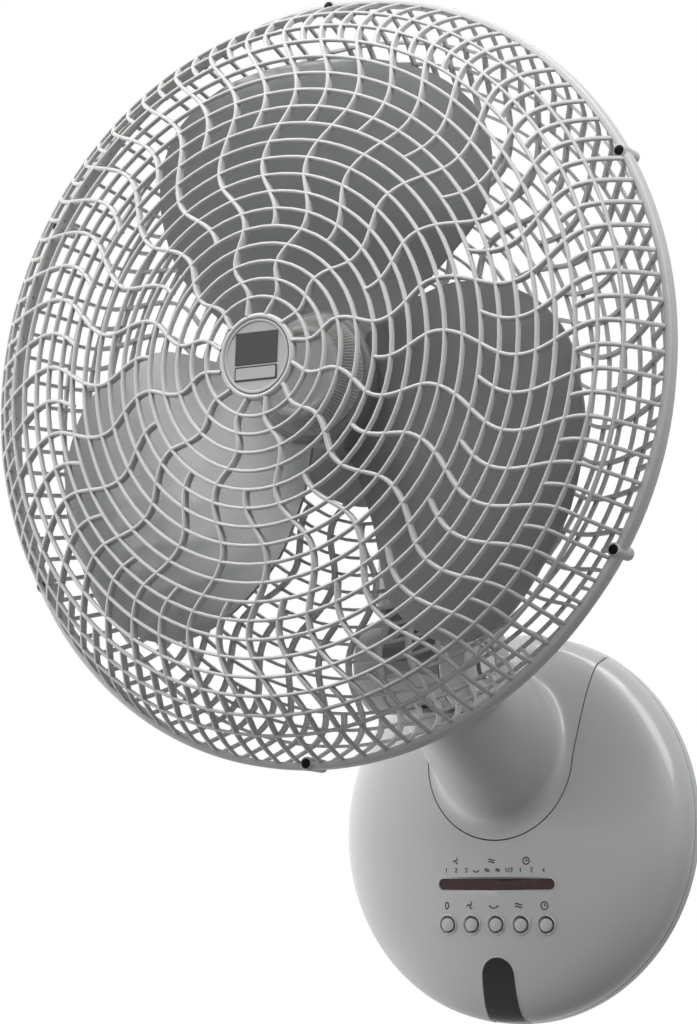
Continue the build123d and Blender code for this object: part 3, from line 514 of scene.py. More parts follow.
blade_shape = Shape()
fine_rows = curve_rows(BLADE_ROWS, 3)
columns = 14
half = BLADE_T / 2
to_rim = Matrix.Translation((0, RIM_Y * MM, AXIS_Z * MM))
for index in range(3):
    place = to_rim @ Matrix.Rotation(math.radians(120 * index), 4, "Y") @ Matrix.Scale(MM, 4)
    loops = []
    for row in fine_rows:
        front_side = [blade_point(row, j / columns, half) for j in range(columns + 1)]
        rear_side = [blade_point(row, j / columns, -half) for j in range(columns, -1, -1)]
        loops.append([place @ point for point in front_side + rear_side])
    blade_shape.grid(loops, closed=True)
    blade_shape.cap(loops[-1])
hub_profile = rounded([(34.5, -31.5), (38.4, -31.5), (38.4, 6.5), (35.5, 10), (9.5, 10)], 2.5)
turned(blade_shape, [(r, RIM_Y - y) for r, y in hub_profile], 96)
hub_inner = rounded([(34.5, -31.5), (34.5, 4), (4.2, 4)], 1.0)
turned(blade_shape, [(r, RIM_Y - y) for r, y in hub_inner], 72)
turned(blade_shape, [(9.0, RIM_Y - 5), (9.0, RIM_Y + 30), (4.2, RIM_Y + 30)], 48)
blades = blade_shape.piece("blades_moulding", blade_san, 50)
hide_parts("fan_blades")
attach(blades, "rotor")
print("blade faces:", len(blades.data.polygons))

# %% [markdown]
# The nut in front of the hub is a short cone with about a hundred fine grooves for the fingers. Of every
# six points round it, two lie in a groove; the grooves fade out at both ends.

# %% Fluted nut
FLUTES, FLUTE_DEPTH = 104, 1.15
nut_shape = Shape()
nut_rows = []
for radius, depth, ripple in (
        (33.2, 9.8, 0), (34.4, 10.6, 0), (34.2, 11.4, 0.2), (33.4, 12.6, 1), (30.6, 17.2, 1), (27.6, 22.0, 1),
        (26.4, 23.8, 0.3), (25.2, 24.8, 0), (23.6, 25.0, 0), (21.5, 24.6, 0), (21.0, 23.6, 0),
        (12.0, 23.4, 0), (0.01, 23.4, 0)):
    row = []
    for index, t in enumerate(full_turn(FLUTES * 6)):
        reach = radius - (FLUTE_DEPTH * ripple if index % 6 in (2, 3) else 0)
        row.append(on_axis(reach * math.sin(t), -depth, reach * math.cos(t)))
    nut_rows.append(row)
nut_shape.grid(nut_rows, closed=True)
nut = nut_shape.piece("fluted_nut", nut_abs, 60)
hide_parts("blade_nut")
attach(nut, "rotor")
print("nut faces:", len(nut.data.polygons))

# %% [markdown]
# The wall base is a shallow dome. Its front is split by a U-shaped seam into the neck's panel and the
# control cover, and has a long lens, five button bezels and a black window. To keep one smooth dome
# through all of them, the dome's surface is laid flat: a point is given by how far it lies from the middle
# along the surface, and by its direction. The flat map is cut into triangles round every outline, and each
# region becomes its own piece.

# %% Dome map
CROWN_Y, SHOULDER_R, SHOULDER_Y, EDGE_Y, PLATE_EDGE = 38.0, 92.0, 31.0, 11.0, 6.0
DROP = CROWN_Y - SHOULDER_Y
SPHERE_R = (SHOULDER_R ** 2 + DROP ** 2) / (2 * DROP)


def crown_y(radius):
    """How far the dome stands off the wall, inside the shoulder."""
    return CROWN_Y - SPHERE_R + math.sqrt(SPHERE_R ** 2 - radius ** 2)


SOFT_R = 80.0             # from here on the dome's surface bends over to its edge in one soft curve
meridian = [(r, crown_y(r)) for r in [SOFT_R * i / 40 for i in range(40)]]
bend = [Vector((SOFT_R, crown_y(SOFT_R))), Vector((104.0, 29.5)), Vector((BASE_R, 24.0)),
        Vector((BASE_R, EDGE_Y))]
for index in range(33):
    t = index / 32
    point = (bend[0] * (1 - t) ** 3 + bend[1] * 3 * t * (1 - t) ** 2 + bend[2] * 3 * t * t * (1 - t)
             + bend[3] * t ** 3)
    meridian.append((point.x, point.y))
meridian.append((BASE_R, PLATE_EDGE + 1.0))
lengths = [0.0]
for (r0, y0), (r1, y1) in zip(meridian, meridian[1:]):
    lengths.append(lengths[-1] + math.hypot(r1 - r0, y1 - y0))
print("dome surface, middle to edge, mm:", round(lengths[-1], 1))


def along_meridian(length):
    """Radius and height of the dome at a length along its surface."""
    for i in range(len(lengths) - 1):
        if length <= lengths[i + 1]:
            t = (length - lengths[i]) / (lengths[i + 1] - lengths[i])
            (r0, y0), (r1, y1) = meridian[i], meridian[i + 1]
            return r0 + (r1 - r0) * t, y0 + (y1 - y0) * t
    return meridian[-1]


def length_at(radius):
    """Length along the dome's surface at a radius."""
    for i in range(len(meridian) - 1):
        (r0, y0), (r1, y1) = meridian[i], meridian[i + 1]
        if radius <= r1:
            return lengths[i] + (lengths[i + 1] - lengths[i]) * (radius - r0) / (r1 - r0)
    return lengths[-1]


def to_map(x, z):
    """From the front view to the flat map."""
    radius = math.hypot(x, z)
    scale = length_at(min(radius, BASE_R)) / radius
    return (x * scale, z * scale)


def from_map(a, b, sink=0.0):
    """From the flat map to a point on the dome, or a little below its surface."""
    length = math.hypot(a, b)
    radius, height = along_meridian(length)
    ahead, height_ahead = along_meridian(min(length + 0.5, lengths[-1]))
    behind, height_behind = along_meridian(max(length - 0.5, 0))
    slope = Vector((ahead - behind, height_ahead - height_behind)).normalized()
    radius += slope.y * sink
    height -= slope.x * sink
    return Vector((radius * a / length, -height, radius * b / length)) * MM


# %% [markdown]
# Outlines on the dome, in the front view: the U of the neck's panel, the lens, the window and the round
# holes of the buttons.

# %% Dome outlines
PANEL_R, PANEL_Z, PANEL_TOP = 50.0, 40.5, 60.0
LENS_R, LENS_HALF, LENS_Z = 3.25, 36.75, -36.0
WINDOW_R, WINDOW_Z = 11.0, -91.0


def arc(radius, x, z, first, last, steps):
    """Points on an arc in the front view; 0 degrees is to the right and 90 is up."""
    turns = [math.radians(first + (last - first) * i / steps) for i in range(steps + 1)]
    return [(x + radius * math.cos(t), z + radius * math.sin(t)) for t in turns]


def panel_loop(grow):
    """U of the neck's panel; its top runs out over the dome's edge."""
    half, top = PANEL_R + grow, PANEL_TOP + grow
    rise = math.sqrt(BASE_R ** 2 - top ** 2) - PANEL_Z
    side = [(half + (top - half) * i / 12, PANEL_Z + rise * i / 12) for i in range(1, 13)]
    loop = arc(half, 0, PANEL_Z, 180, 360, 40) + side
    mapped = [to_map(x, z) for x, z in loop]
    corner = math.atan2(mapped[-1][1], mapped[-1][0])
    far = lengths[-1] + 4
    over = [corner + (math.pi - 2 * corner) * i / 24 for i in range(25)]
    mapped += [(far * math.cos(t), far * math.sin(t)) for t in over]
    return mapped + [to_map(-x, z) for x, z in side[::-1]]


def lens_loop(grow):
    """Lens outline: a long slot with round ends."""
    radius = LENS_R + grow
    ends = arc(radius, LENS_HALF, LENS_Z, -90, 90, 10) + arc(radius, -LENS_HALF, LENS_Z, 90, 270, 10)
    return [to_map(x, z) for x, z in ends]


def window_loop(grow):
    """Window outline: a round top that runs down over the edge."""
    radius = WINDOW_R + grow
    drop = math.sqrt(BASE_R ** 2 - radius ** 2) + WINDOW_Z
    sides = [(radius + i / 12, WINDOW_Z - drop * i / 12) for i in range(1, 13)]
    loop = [to_map(x, z) for x, z in arc(radius, 0, WINDOW_Z, 180, 0, 24) + sides]
    a, b = loop[-1]
    far = (lengths[-1] + 4) / math.hypot(a, b)
    loop += [(a * far, b * far), (-a * far, b * far)]
    return loop + [to_map(-x, z) for x, z in sides[::-1]]


def round_loop(radius, x, z):
    """Outline of a round hole, of 32 points."""
    return [to_map(px, pz) for px, pz in arc(radius, x, z, 0, 360 - 360 / 32, 31)]


def inside(loop, a, b):
    """True if a point of the map lies inside a loop."""
    hit = False
    for (a0, b0), (a1, b1) in zip(loop, loop[1:] + loop[:1]):
        if (b0 > b) != (b1 > b) and a < a0 + (a1 - a0) * (b - b0) / (b1 - b0):
            hit = not hit
    return hit


def dome_region(name, material, keep, holes, spacing=4.0, sink=0.0, lip=2.2):
    """The dome inside the keep loop, or all of it, outside the holes, with a wall down from its borders."""
    edge = [(lengths[-1] * math.cos(t), lengths[-1] * math.sin(t)) for t in full_turn(240)]
    outlines = [edge] + ([keep] if keep else []) + holes
    points, lines = [], []
    for loop in outlines:
        start = len(points)
        points += [Vector(p) for p in loop]
        lines += [(start + i, start + (i + 1) % len(loop)) for i in range(len(loop))]
    across, along = zip(*(keep or edge))
    low_a, high_a, low_b, high_b = min(across), max(across), min(along), max(along)
    for ring in range(1, int(lengths[-1] / spacing)):
        reach = lengths[-1] * ring / int(lengths[-1] / spacing)
        count = max(8, int(2 * math.pi * reach / spacing))
        for i in range(count):
            t = 2 * math.pi * (i + 0.5 * (ring % 2)) / count
            a, b = reach * math.cos(t), reach * math.sin(t)
            if low_a <= a <= high_a and low_b <= b <= high_b:
                points.append(Vector((a, b)))
    cut_points, cut_edges, cut_faces, *_ = delaunay_2d_cdt(points, lines, [], 0, 1e-5)
    kept = []
    for corners in cut_faces:
        a = sum(cut_points[i][0] for i in corners) / len(corners)
        b = sum(cut_points[i][1] for i in corners) / len(corners)
        if math.hypot(a, b) > lengths[-1] or (keep and not inside(keep, a, b)):
            continue
        if any(inside(hole, a, b) for hole in holes):
            continue
        kept.append(tuple(corners))
    used = sorted({i for corners in kept for i in corners})
    place = {old: new for new, old in enumerate(used)}
    shape = Shape()
    shape.points = [from_map(*cut_points[i], sink) for i in used]
    shape.faces = [tuple(place[i] for i in corners) for corners in kept]
    sides = {}
    for corners in shape.faces:
        sides.update(dict.fromkeys(zip(corners, corners[1:] + corners[:1])))
    flat = {place[i]: cut_points[i] for i in used}
    low = {}
    for i, j in [side for side in sides if side[::-1] not in sides]:
        for k in (i, j):
            if k not in low:
                low[k] = len(shape.points)
                shape.points.append(from_map(*flat[k], sink + lip))
        shape.faces.append((j, i, low[i], low[j]))
    return shape.piece(name, material, 35)


# %% [markdown]
# The cover and the panel leave a seam of three quarters of a millimetre between them. The lens and the
# window lie a little below the cover, and the cover turns over into a small rounded rim at both openings.
# Behind the cover the back plate shows as a narrow band, with a groove between the two.

# %% Dome pieces
BEZEL_R = 6.4
bezel_holes = [round_loop(BEZEL_R - 0.4, x, BUTTON_Z) for x in BUTTONS]
cover = dome_region("control_cover_skin", housing_abs, None,
                    [panel_loop(0.5), lens_loop(0.8), window_loop(0.8)] + bezel_holes)
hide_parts("control_cover")
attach(cover, "wall_base")
lens = dome_region("display_lens_strip", lens_acrylic, lens_loop(-0.1), [], 3.0, 0.7, 0.6)
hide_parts("display_lens")
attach(lens, "wall_base")
window = dome_region("receiver_window_skin", window_acrylic, window_loop(-0.1), [], 3.0, 0.35, 1.0)
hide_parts("receiver_window")
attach(window, "wall_base")
panel = dome_region("neck_panel_skin", housing_abs, panel_loop(-0.25), [])


def opening_rim(name, outline, profile, closed):
    """A rounded edge round an opening in the cover, from a list of (grow, lift) steps."""
    shape = Shape()
    rows = []
    for grow, lift in profile:
        loop = outline(grow)
        if not closed:
            gap = max(i for i, p in enumerate(loop) if math.hypot(*p) > lengths[-1])
            loop = loop[gap + 1:] + loop[:gap]
        on_it = [p for p in loop if math.hypot(*p) <= lengths[-1]]
        rows.append([from_map(a, b, -lift) for a, b in on_it])
    count = min(len(row) for row in rows)
    shape.grid([row[:count] for row in rows], closed=closed)
    piece = shape.piece(name, housing_abs)
    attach(piece, "wall_base")


lens_edge = [(0.85, -0.6), (0.8, 0.02), (0.6, 0.22), (0.35, 0.2), (0.1, -0.15), (0.0, -1.2)]
window_edge = [(0.85, -0.6), (0.8, 0.02), (0.55, 0.2), (0.3, 0.18), (0.1, -0.1), (0.0, -1.0)]
opening_rim("lens_rim", lens_loop, lens_edge, True)
opening_rim("window_rim", window_loop, window_edge, False)
plate_edge = Shape()
edge_band = rounded([(114.5, -9.5), (114.5, -5.9), (118.7, -5.9), (BASE_R, -5.85), (BASE_R, -0.15),
                     (118.85, 0.0)], 0.1)
turned(plate_edge, edge_band, 240, 0.0)
plate_band = plate_edge.piece("back_plate_edge", housing_abs)
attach(plate_band, "wall_base")
print("cover faces:", len(cover.data.polygons), "panel faces:", len(panel.data.polygons))

# %% [markdown]
# The neck is a stout tube that grows out of its panel with a small fillet, and ends in a barrel that lies
# across it: the tilt knuckle. For every direction round the tube, the point where it meets the dome is
# found first, and the fillet is a curve from the panel, past that point, up onto the tube.

# %% Neck tube
NECK_FOOT = Vector((0, -24.0, 44.0))
NECK_FOOT_R, NECK_HEAD_R = 45.0, 31.0
FILLET = 6.5
neck_line = Vector((0, TILT_Y, TILT_Z)) - NECK_FOOT
neck_length = neck_line.length
neck_dir = neck_line.normalized()
neck_up = Vector((0, neck_dir.z, -neck_dir.y))
LUG_HALF, LUG_ROOM = 20.0, 29.0        # the room that the tilt lug swings in


def neck_point(length, turn, grow=0.0):
    """A point on the tube, in millimetres."""
    radius = NECK_FOOT_R + (NECK_HEAD_R - NECK_FOOT_R) * length / neck_length + grow
    outward = Vector((1, 0, 0)) * radius * math.sin(turn) + neck_up * radius * math.cos(turn)
    return NECK_FOOT + neck_dir * length + outward


def above_dome(point):
    """How far a point lies in front of the dome; negative inside it."""
    radius = math.hypot(point.x, point.z)
    return -point.y - along_meridian(length_at(min(radius, BASE_R)))[1]


def meeting_length(turn, grow):
    """Length along the tube where it comes out of the dome."""
    low, high = -30.0, neck_length
    for _ in range(30):
        middle = (low + high) / 2
        if above_dome(neck_point(middle, turn, grow)) > 0:
            high = middle
        else:
            low = middle
    return high


def free_length(turn):
    """Length along the tube up to the room that the tilt lug swings in, or into a cheek beside it."""
    for step in range(80):
        length = neck_length * (0.4 + 0.6 * step / 79)
        point = neck_point(length, turn)
        y, z = point.y - TILT_Y, point.z - TILT_Z
        if abs(point.x) < LUG_HALF + 1.9:
            if math.hypot(y, z) < LUG_ROOM or (z > 0 and y < LUG_ROOM) or (y < 0 and abs(z) < LUG_ROOM):
                return length
        elif math.hypot(y, z) < 24:
            return length
    return neck_length


neck_shape = Shape()
neck_rows = [[] for _ in range(26)]
NECK_STEPS = 96
for turn in full_turn(NECK_STEPS):    # rows 0 to 8: fillet, 9 to 23: tube, 24 and 25: its inner wall
    start = meeting_length(turn, 0)
    corner = neck_point(start, turn)
    foot = neck_point(meeting_length(turn, FILLET), turn, FILLET)
    top = neck_point(start + FILLET, turn)
    for step in range(9):
        neck_rows[step].append(bow(foot, corner, top, step / 8) * MM)
    end = free_length(turn)
    for step in range(9, 24):
        reach = start + FILLET + (end - start - FILLET) * (step - 8) / 15
        neck_rows[step].append(neck_point(reach, turn) * MM)
    neck_rows[24].append(neck_point(end, turn, -3.0) * MM)
    neck_rows[25].append(neck_point(end - 10, turn, -3.0) * MM)
neck_shape.grid(neck_rows, closed=True)
tube = neck_shape.piece("neck_tube", housing_abs)
print("neck tube faces:", len(tube.data.polygons))

# %% [markdown]
# The barrel of the knuckle has two cheeks with the tilt lug between them. Each cheek is a short drum with
# soft edges and a round recess at its outer end, where the tilt bolt and its nut sit. A curved bed closes
# the neck between the cheeks and leaves the lug its room.

# %% Knuckle
KNUCKLE_R, KNUCKLE_HALF = 28.0, 38.0
knuckle_shape = Shape()


def tilt_point(x, y, z):
    """A point given from the tilt axis, in metres."""
    return Vector((x, TILT_Y + y, TILT_Z + z)) * MM


def drum(shape, profile):
    """Turns a profile of (radius, x) about the tilt axis."""
    shape.grid([[tilt_point(x, radius * math.sin(t), radius * math.cos(t)) for t in full_turn(72)]
                for radius, x in profile], closed=True)


for side in (-1, 1):
    cheek = rounded([(0.01, LUG_HALF + 0.3), (KNUCKLE_R, LUG_HALF + 0.3), (KNUCKLE_R, KNUCKLE_HALF),
                     (15.5, KNUCKLE_HALF), (12.0, KNUCKLE_HALF - 0.4), (12.0, KNUCKLE_HALF - 3.0),
                     (5.1, KNUCKLE_HALF - 3.0)], 2.0)
    drum(knuckle_shape, [(r, side * x) for r, x in cheek])
bed = [(LUG_ROOM, 22.5), (LUG_ROOM, 11.0)]
turns = [math.radians(a) for a in range(90, 181, 6)]
bed += [(LUG_ROOM * math.sin(t), LUG_ROOM * math.cos(t)) for t in turns]
bed += [(0.0, -35.0)]
knuckle_shape.grid([[tilt_point(x, y, z) for y, z in bed] for x in (-LUG_HALF - 1, 0, LUG_HALF + 1)])
cheeks = knuckle_shape.piece("knuckle_cheeks", housing_abs)
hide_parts("neck")
for piece in (panel, tube, cheeks):
    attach(piece, "wall_base")
print("knuckle faces:", len(cheeks.data.polygons))

# %% [markdown]
# The head stands on a round table: a lug between the cheeks, a disc on top of it, and above them the
# swing column, which carries the motor housing. All of this lies in the shade behind the guard.

# %% Swing column and motor covers
COLUMN_R, COLUMN_FOOT, MOTOR_R = 33.0, 124.8, 58.0
MOTOR_FRONT, MOTOR_SPLIT, MOTOR_REAR = -187.8, -140.0, -76.0
column_shape = Shape()
column_rows = []
for radius, z in [(30.5, COLUMN_FOOT), (32.2, COLUMN_FOOT + 0.5), (33, COLUMN_FOOT + 2.2)]:
    column_rows.append([Vector((radius * math.sin(t), TILT_Y + radius * math.cos(t), z)) * MM
                        for t in full_turn(72)])
top_row = []
for t in full_turn(72):
    x, y = COLUMN_R * math.sin(t), TILT_Y + COLUMN_R * math.cos(t)
    # the motor housing that the column runs into grows narrower towards the rear
    shell_r = MOTOR_R - 9 * max(0.0, (y + 108) / 23)
    top_row.append(Vector((x, y, AXIS_Z - math.sqrt(shell_r ** 2 - x ** 2) + 1.5)) * MM)
for step in range(1, 13):
    column_rows.append([low.lerp(high, step / 12) for low, high in zip(column_rows[2], top_row)])
column_shape.grid(column_rows, closed=True)
column_shape.cap(column_rows[0])
column = column_shape.piece("swing_column_skin", motor_abs_painted_shade)
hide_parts("swing_column")

front_cover_shape = Shape()
bell = rounded([(26, MOTOR_FRONT - 13), (26, MOTOR_FRONT), (48, MOTOR_FRONT), (MOTOR_R, MOTOR_FRONT + 9),
                (MOTOR_R, MOTOR_SPLIT - 0.2), (56.6, MOTOR_SPLIT - 0.2)], 4.0)
turned(front_cover_shape, bell, 96)
collar = [(26, MOTOR_FRONT - 13), (24, MOTOR_FRONT - 13.4), (11.1, MOTOR_FRONT - 13.4), (11.1, MOTOR_FRONT)]
turned(front_cover_shape, collar, 72)
front_cover = front_cover_shape.piece("motor_front_bell", motor_abs_painted_shade)
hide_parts("motor_front_cover")

rear_cover_shape = Shape()
bell = rounded([(56.6, MOTOR_SPLIT + 0.2), (MOTOR_R, MOTOR_SPLIT + 0.2), (MOTOR_R, MOTOR_REAR - 24),
                (52, MOTOR_REAR - 9), (34, MOTOR_REAR), (0.01, MOTOR_REAR)], 9.0, 8)
turned(rear_cover_shape, bell, 96)
rear_cover = rear_cover_shape.piece("motor_rear_bell", motor_abs_painted_shade)
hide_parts("motor_rear_cover")
# The vent slots of the rear cover are not cut. Each is a flat black patch on the cover: painted shade for the
# dark inside of an opening. The black material is the real phenolic of the switches and terminal block too.
vent_shade_shape = Shape()
for t in full_turn(24):
    side, ahead = Vector((math.cos(t), 0, -math.sin(t))), Vector((math.sin(t), 0, math.cos(t)))
    middle = on_axis(0, MOTOR_REAR + 0.04 - RIM_Y, 0) + ahead * 22 * MM
    vent_shade_shape.cap([middle + (side * u + ahead * v) * MM for u, v in rounded_rectangle(2.4, 13.0, 1.2, 4)])
vent_shade_patches = vent_shade_shape.piece("motor_vent_painted_shade", black_phenolic_and_vent_shade)
for piece in (column, front_cover, rear_cover, vent_shade_patches):
    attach(piece, "head")
print("motor cover faces:", len(front_cover.data.polygons) + len(rear_cover.data.polygons))

# %% [markdown]
# Each button is a short pale cap with a soft edge, in a bevelled ring that stands a little proud of the
# cover. The rings follow the dome's tilt at their place; the caps are turned about their own travel, which
# is straight into the wall.

# %% Buttons and bezels
def ring_on_dome(shape, x, z, profile, along_y=False):
    """Turns a (radius, lift) profile about the dome's normal, or about the button's own travel."""
    height = crown_y(math.hypot(x, z))
    out = Vector((0, -1, 0)) if along_y else Vector((x, CROWN_Y - SPHERE_R - height, z)).normalized()
    across = out.cross(Vector((0, 0, 1))).normalized()
    upward = across.cross(out)
    middle = Vector((x, -height, z))
    shape.grid([[(middle + out * lift + (across * math.sin(t) + upward * math.cos(t)) * radius) * MM
                 for t in full_turn(48)] for radius, lift in profile], closed=True)


bezel_shape = Shape()
bezel_profile = rounded([(BEZEL_R, -0.4), (BEZEL_R, 0.1), (6.0, 0.5), (5.65, 0.45), (4.9, -0.9), (4.7, -1.0),
                         (4.7, -3.0)], 0.15)
for x in BUTTONS:
    ring_on_dome(bezel_shape, x, BUTTON_Z, bezel_profile)
bezels = bezel_shape.piece("button_bezels", housing_abs)
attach(bezels, "wall_base")
cap_profile = rounded([(4.0, -3.0), (4.0, 0.65), (0.01, 0.9)], 0.45)
for index, x in enumerate(BUTTONS):
    button_shape = Shape()
    ring_on_dome(button_shape, x, BUTTON_Z, cap_profile, along_y=True)
    cap_piece = button_shape.piece(f"button_cap_{index + 1}", button_abs)
    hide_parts(f"button_{index + 1}")
    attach(cap_piece, f"button_{index + 1}_body")
print("buttons:", len(BUTTONS), "bezel faces:", len(bezels.data.polygons))

# %% [markdown]
# The symbols over the buttons and over the lens are printed in dark ink: plain figures, a pinwheel, an
# arc, a double wave and a clock face. Each stroke is a ribbon that lies on the dome.

# %% Printed symbols
INK_W, SMALL_INK_W, INK_LIFT = 0.76, 0.62, 0.06
FIGURES = {
    "0": [(0.3 * math.sin(t * math.pi / 8), 0.5 * math.cos(t * math.pi / 8)) for t in range(17)],
    "1": [(-0.2, 0.3), (0.02, 0.5), (0.02, -0.5)],
    "2": [(-0.27, 0.3), (-0.1, 0.48), (0.15, 0.46), (0.27, 0.25), (0.16, 0.02), (-0.28, -0.47), (0.3, -0.47)],
    "3": [(-0.25, 0.4), (0.0, 0.5), (0.24, 0.28), (0.0, 0.04), (0.27, -0.22), (0.0, -0.5), (-0.27, -0.38)],
    "4": [(0.12, -0.5), (0.12, 0.5), (-0.3, -0.2), (0.34, -0.2)],
    "/": [(-0.2, -0.5), (0.2, 0.5)],
}


def ink_stroke(shape, points, x, z, closed=False, width=INK_W):
    """Lays a ribbon of ink along points in the front view, round a place on the dome."""
    count = len(points)
    rows = [[], [], [], []]
    for index, (u, v) in enumerate(points):
        before = points[index - 1] if index or closed else points[0]
        after = points[(index + 1) % count] if index < count - 1 or closed else points[-1]
        along = Vector((after[0] - before[0], after[1] - before[1])).normalized()
        for row, (side, lift) in enumerate(((-1, -0.1), (-1, INK_LIFT), (1, INK_LIFT), (1, -0.1))):
            px, pz = x + u - along.y * side * width / 2, z + v + along.x * side * width / 2
            rows[row].append(Vector((px, -crown_y(math.hypot(px, pz)) - lift, pz)) * MM)
    shape.grid(rows, closed=closed)


def figure(shape, name, x, z, height):
    """A plain figure in one stroke, thinner when it is small."""
    width = INK_W if height > 3 else SMALL_INK_W
    ink_stroke(shape, [(u * height, v * height) for u, v in FIGURES[name]], x, z, width=width)


def pinwheel(shape, x, z, size):
    """Fan speed: three curved blades."""
    for blade in range(3):
        points = []
        for step in range(7):
            t = math.radians(120 * blade + 75 * step / 6)
            points.append((size * step / 6 * math.cos(t), size * step / 6 * math.sin(t)))
        ink_stroke(shape, points, x, z)


def double_wave(shape, x, z, size):
    """Breeze: two waves, one over the other."""
    for level in (-0.32, 0.32):
        points = [(size * (i / 6 - 1), size * (level + 0.2 * math.sin(math.pi * i / 6))) for i in range(13)]
        ink_stroke(shape, points, x, z)


def swing_arc(shape, x, z, size):
    """Swing: an arc with a short mark at each end."""
    turns = [math.radians(215 + 110 * i / 12) for i in range(13)]
    ink_stroke(shape, [(size * 1.15 * math.cos(t), size * (0.75 + 1.15 * math.sin(t))) for t in turns], x, z)
    for side in (-1, 1):
        ink_stroke(shape, [(side * size * 1.1, 0.05), (side * size * 0.72, 0.05)], x, z, width=0.9)


def clock_face(shape, x, z, size):
    """Timer: a round face with two hands."""
    ring = [(size * math.sin(math.pi * i / 12), size * math.cos(math.pi * i / 12)) for i in range(24)]
    ink_stroke(shape, ring, x, z, closed=True)
    ink_stroke(shape, [(0, size * 0.62), (0, 0), (size * 0.55, 0)], x, z)


ink_shape = Shape()
figure(ink_shape, "0", -34.3, -48.8, 3.9)
for name, x in (("1", -34.6), ("2", -27.6), ("3", -20.4), ("1", 7.6), ("/", 9.3), ("2", 11.3), ("1", 17.3),
                ("2", 24.8), ("4", 32.8)):
    figure(ink_shape, name, x, -27.5, 2.6)
for symbol, x, z, size in (
        (pinwheel, -17.8, -48.8, 2.4), (swing_arc, -1.2, -49.2, 3.0), (double_wave, 15.9, -48.8, 2.5),
        (clock_face, 33.2, -48.8, 2.3), (swing_arc, -13.2, -27.9, 1.9), (double_wave, -5.6, -27.5, 1.7),
        (double_wave, 1.8, -27.5, 1.5), (pinwheel, -27.7, -22.0, 2.1), (double_wave, -2.4, -22.0, 2.2),
        (clock_face, 21.2, -22.0, 2.1)):
    symbol(ink_shape, x, z, size)
ink = ink_shape.piece("printed_symbols", print_ink)
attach(ink, "wall_base")
print("ink faces:", len(ink.data.polygons))

# %% [markdown]
# The pieces that are kept as solids get real finishes too: steel, circuit board, lamps and so on. Most
# of them are hidden, but they show if the model is opened.

# %% Finishes of the kept solids
KEPT = (
    (housing_abs, ["back_plate"]), (motor_abs_painted_shade, ["ring_nut"]), (bracket_metal, ["tilt_bracket"]),
    (plain_steel, ["cover_screws", "tilt_bolt", "tilt_nut", "swing_pin", "bearings", "motor_shaft"]),
    (core_steel, ["transformer", "swing_motor", "stator", "rotor_core"]), (board_glass, ["circuit_board"]),
    (bush_nylon, ["swing_bush", "swing_crank"]), (black_phenolic_and_vent_shade, ["switches", "terminal_block"]),
    (lamp_epoxy, ["lamps"]),
)
for material, names in KEPT:
    for name in names:
        mesh = nodes[name].data
        mesh.materials.clear()
        mesh.materials.append(material)
print("kept solids:", sum(len(names) for material, names in KEPT), "of", len(nodes))

# %% [markdown]
# The stage: a pale floor far below, a white surround and four lamps. The main lamp stands high on the
# left, a lower one lights the left side of the base, a long strip on the right puts the bright streak on
# the dome, and a small one lights the strands from above. The floor and the surround are white to the
# camera and in reflections, and throw back less light than that on the object, so that its shaded sides
# stay dark. The floor still takes the object's shadow.

# %% Stage and light
AMBIENT = 0.22            # light of the surround on the object; 1 would be white
FLOOR_Z, FLOOR_HALF = -0.9, 6.0
FLOOR_GLOW, FLOOR_MATT = 0.85, 0.2    # the seen floor's own white, and its share that takes shadow


def seen_directly(tree):
    """1 for camera, glossy and transmission rays and 0 for the rest."""
    rays = add_node(tree, "ShaderNodeLightPath").outputs
    seen = rays["Is Camera Ray"]
    for kind in ("Is Glossy Ray", "Is Transmission Ray"):
        seen = add_node(tree, "ShaderNodeMath", None, {0: seen, 1: rays[kind]}, operation="MAXIMUM").outputs[0]
    return seen


pale_floor = bpy.data.materials.new("pale_floor")
floor_tree = empty_tree(pale_floor)
floor_grain = add_node(floor_tree, "ShaderNodeTexNoise", {"Scale": 1 / (2 * MM)},
                       {"Vector": add_node(floor_tree, "ShaderNodeTexCoord").outputs["Object"]})
floor_white = add_node(floor_tree, "ShaderNodeMix", {6: linear("#FAFAFA"), 7: linear("#F6F6F6")},
                       {0: floor_grain.outputs["Fac"]}, data_type="RGBA")
floor_colour = add_node(floor_tree, "ShaderNodeMix", {6: linear("#707070")},
                        {0: seen_directly(floor_tree), 7: floor_white.outputs[2]}, data_type="RGBA")
floor_matt = add_node(floor_tree, "ShaderNodeBsdfDiffuse", None, {"Color": floor_colour.outputs[2]})
floor_glow = add_node(floor_tree, "ShaderNodeEmission", {"Color": linear("#FFFFFF"), "Strength": FLOOR_GLOW})
floor_seen = add_node(floor_tree, "ShaderNodeMixShader", {"Fac": FLOOR_MATT},
                      {1: floor_glow.outputs[0], 2: floor_matt.outputs[0]})
floor_both = add_node(floor_tree, "ShaderNodeMixShader", None,
                      {"Fac": seen_directly(floor_tree), 1: floor_matt.outputs[0], 2: floor_seen.outputs[0]})
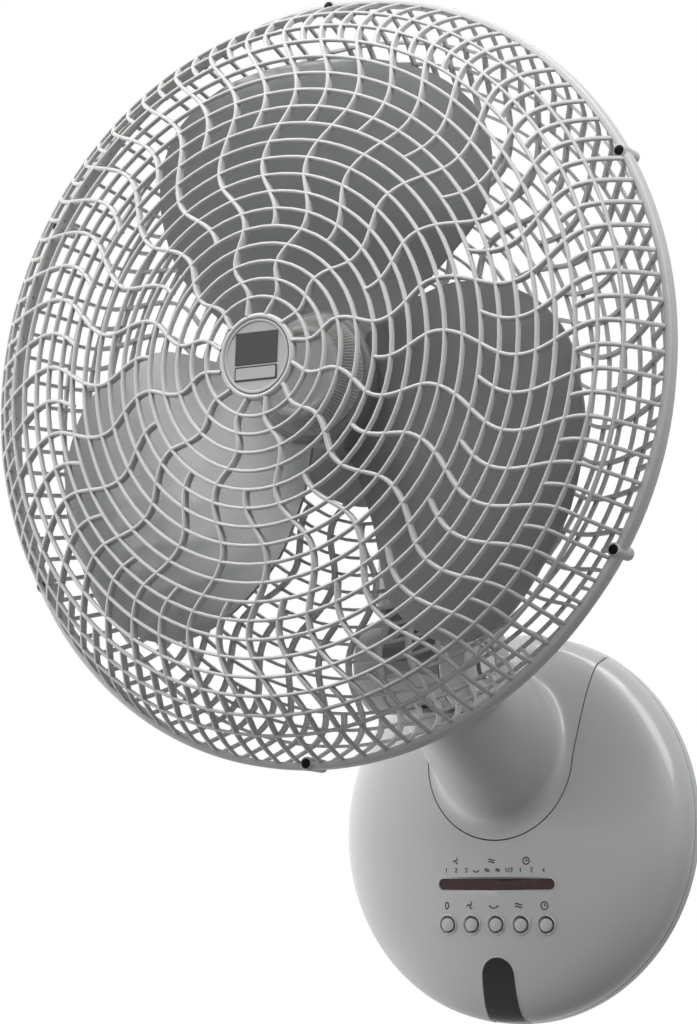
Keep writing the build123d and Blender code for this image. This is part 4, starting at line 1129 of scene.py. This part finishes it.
add_node(floor_tree, "ShaderNodeOutputMaterial", None, {"Surface": floor_both.outputs[0]})
floor_mesh = bpy.data.meshes.new("floor")
floor_corners = [(x * FLOOR_HALF, y * FLOOR_HALF, FLOOR_Z) for x, y in ((-1, -1), (1, -1), (1, 1), (-1, 1))]
floor_mesh.from_pydata(floor_corners, [], [(0, 1, 2, 3)])
floor_mesh.materials.append(pale_floor)
floor = bpy.data.objects.new("floor", floor_mesh)
scene_objects.link(floor)

world = bpy.data.worlds.new("surround")
bpy.context.scene.world = world
surround = empty_tree(world)
strength = add_node(surround, "ShaderNodeMapRange", {"To Min": AMBIENT, "To Max": 1.0},
                    {"Value": seen_directly(surround)})
glow = add_node(surround, "ShaderNodeBackground", {"Color": linear("#FFFFFF")},
                {"Strength": strength.outputs["Result"]})
add_node(surround, "ShaderNodeOutputWorld", None, {"Surface": glow.outputs["Background"]})


def area_light(name, place, target, along, size, power):
    """A soft rectangular light that faces a target, its first side along a direction."""
    data = bpy.data.lights.new(name, "AREA")
    data.shape = "RECTANGLE"
    data.size, data.size_y = size
    data.energy = power
    light = bpy.data.objects.new(name, data)
    back = (Vector(place) - Vector(target)).normalized()
    side = (Vector(along) - back * back.dot(Vector(along))).normalized()
    light.matrix_world = Matrix((side, back.cross(side), back)).transposed().to_4x4()
    light.location = place
    scene_objects.link(light)
    return light


# The lamp at the left is kept out of reflections: the curved front of the base would mirror it as a white
# patch that a softer real lamp doesn't give.
area_light("key", (-1.5, -1.9, 2.1), (0, -0.15, 0.1), (1, 0, 0), (1.2, 1.2), 58)
side_lamp = area_light("left_side", (-2.4, -0.5, -0.1), (0, -0.05, 0.05), (0, 0, 1), (1.8, 1.4), 66)
side_lamp.visible_glossy = False
area_light("right_strip", (1.05, -0.95, 1.45), (0.05, -0.05, 0.05), (1.77, 0.35, -1.0), (2.0, 0.8), 26)
area_light("top_strip", (0.0, -0.7, 2.2), (0, -0.25, 0.2), (1, 0, 0), (1.6, 0.4), 16)
bpy.context.scene.view_settings.view_transform = "Standard"
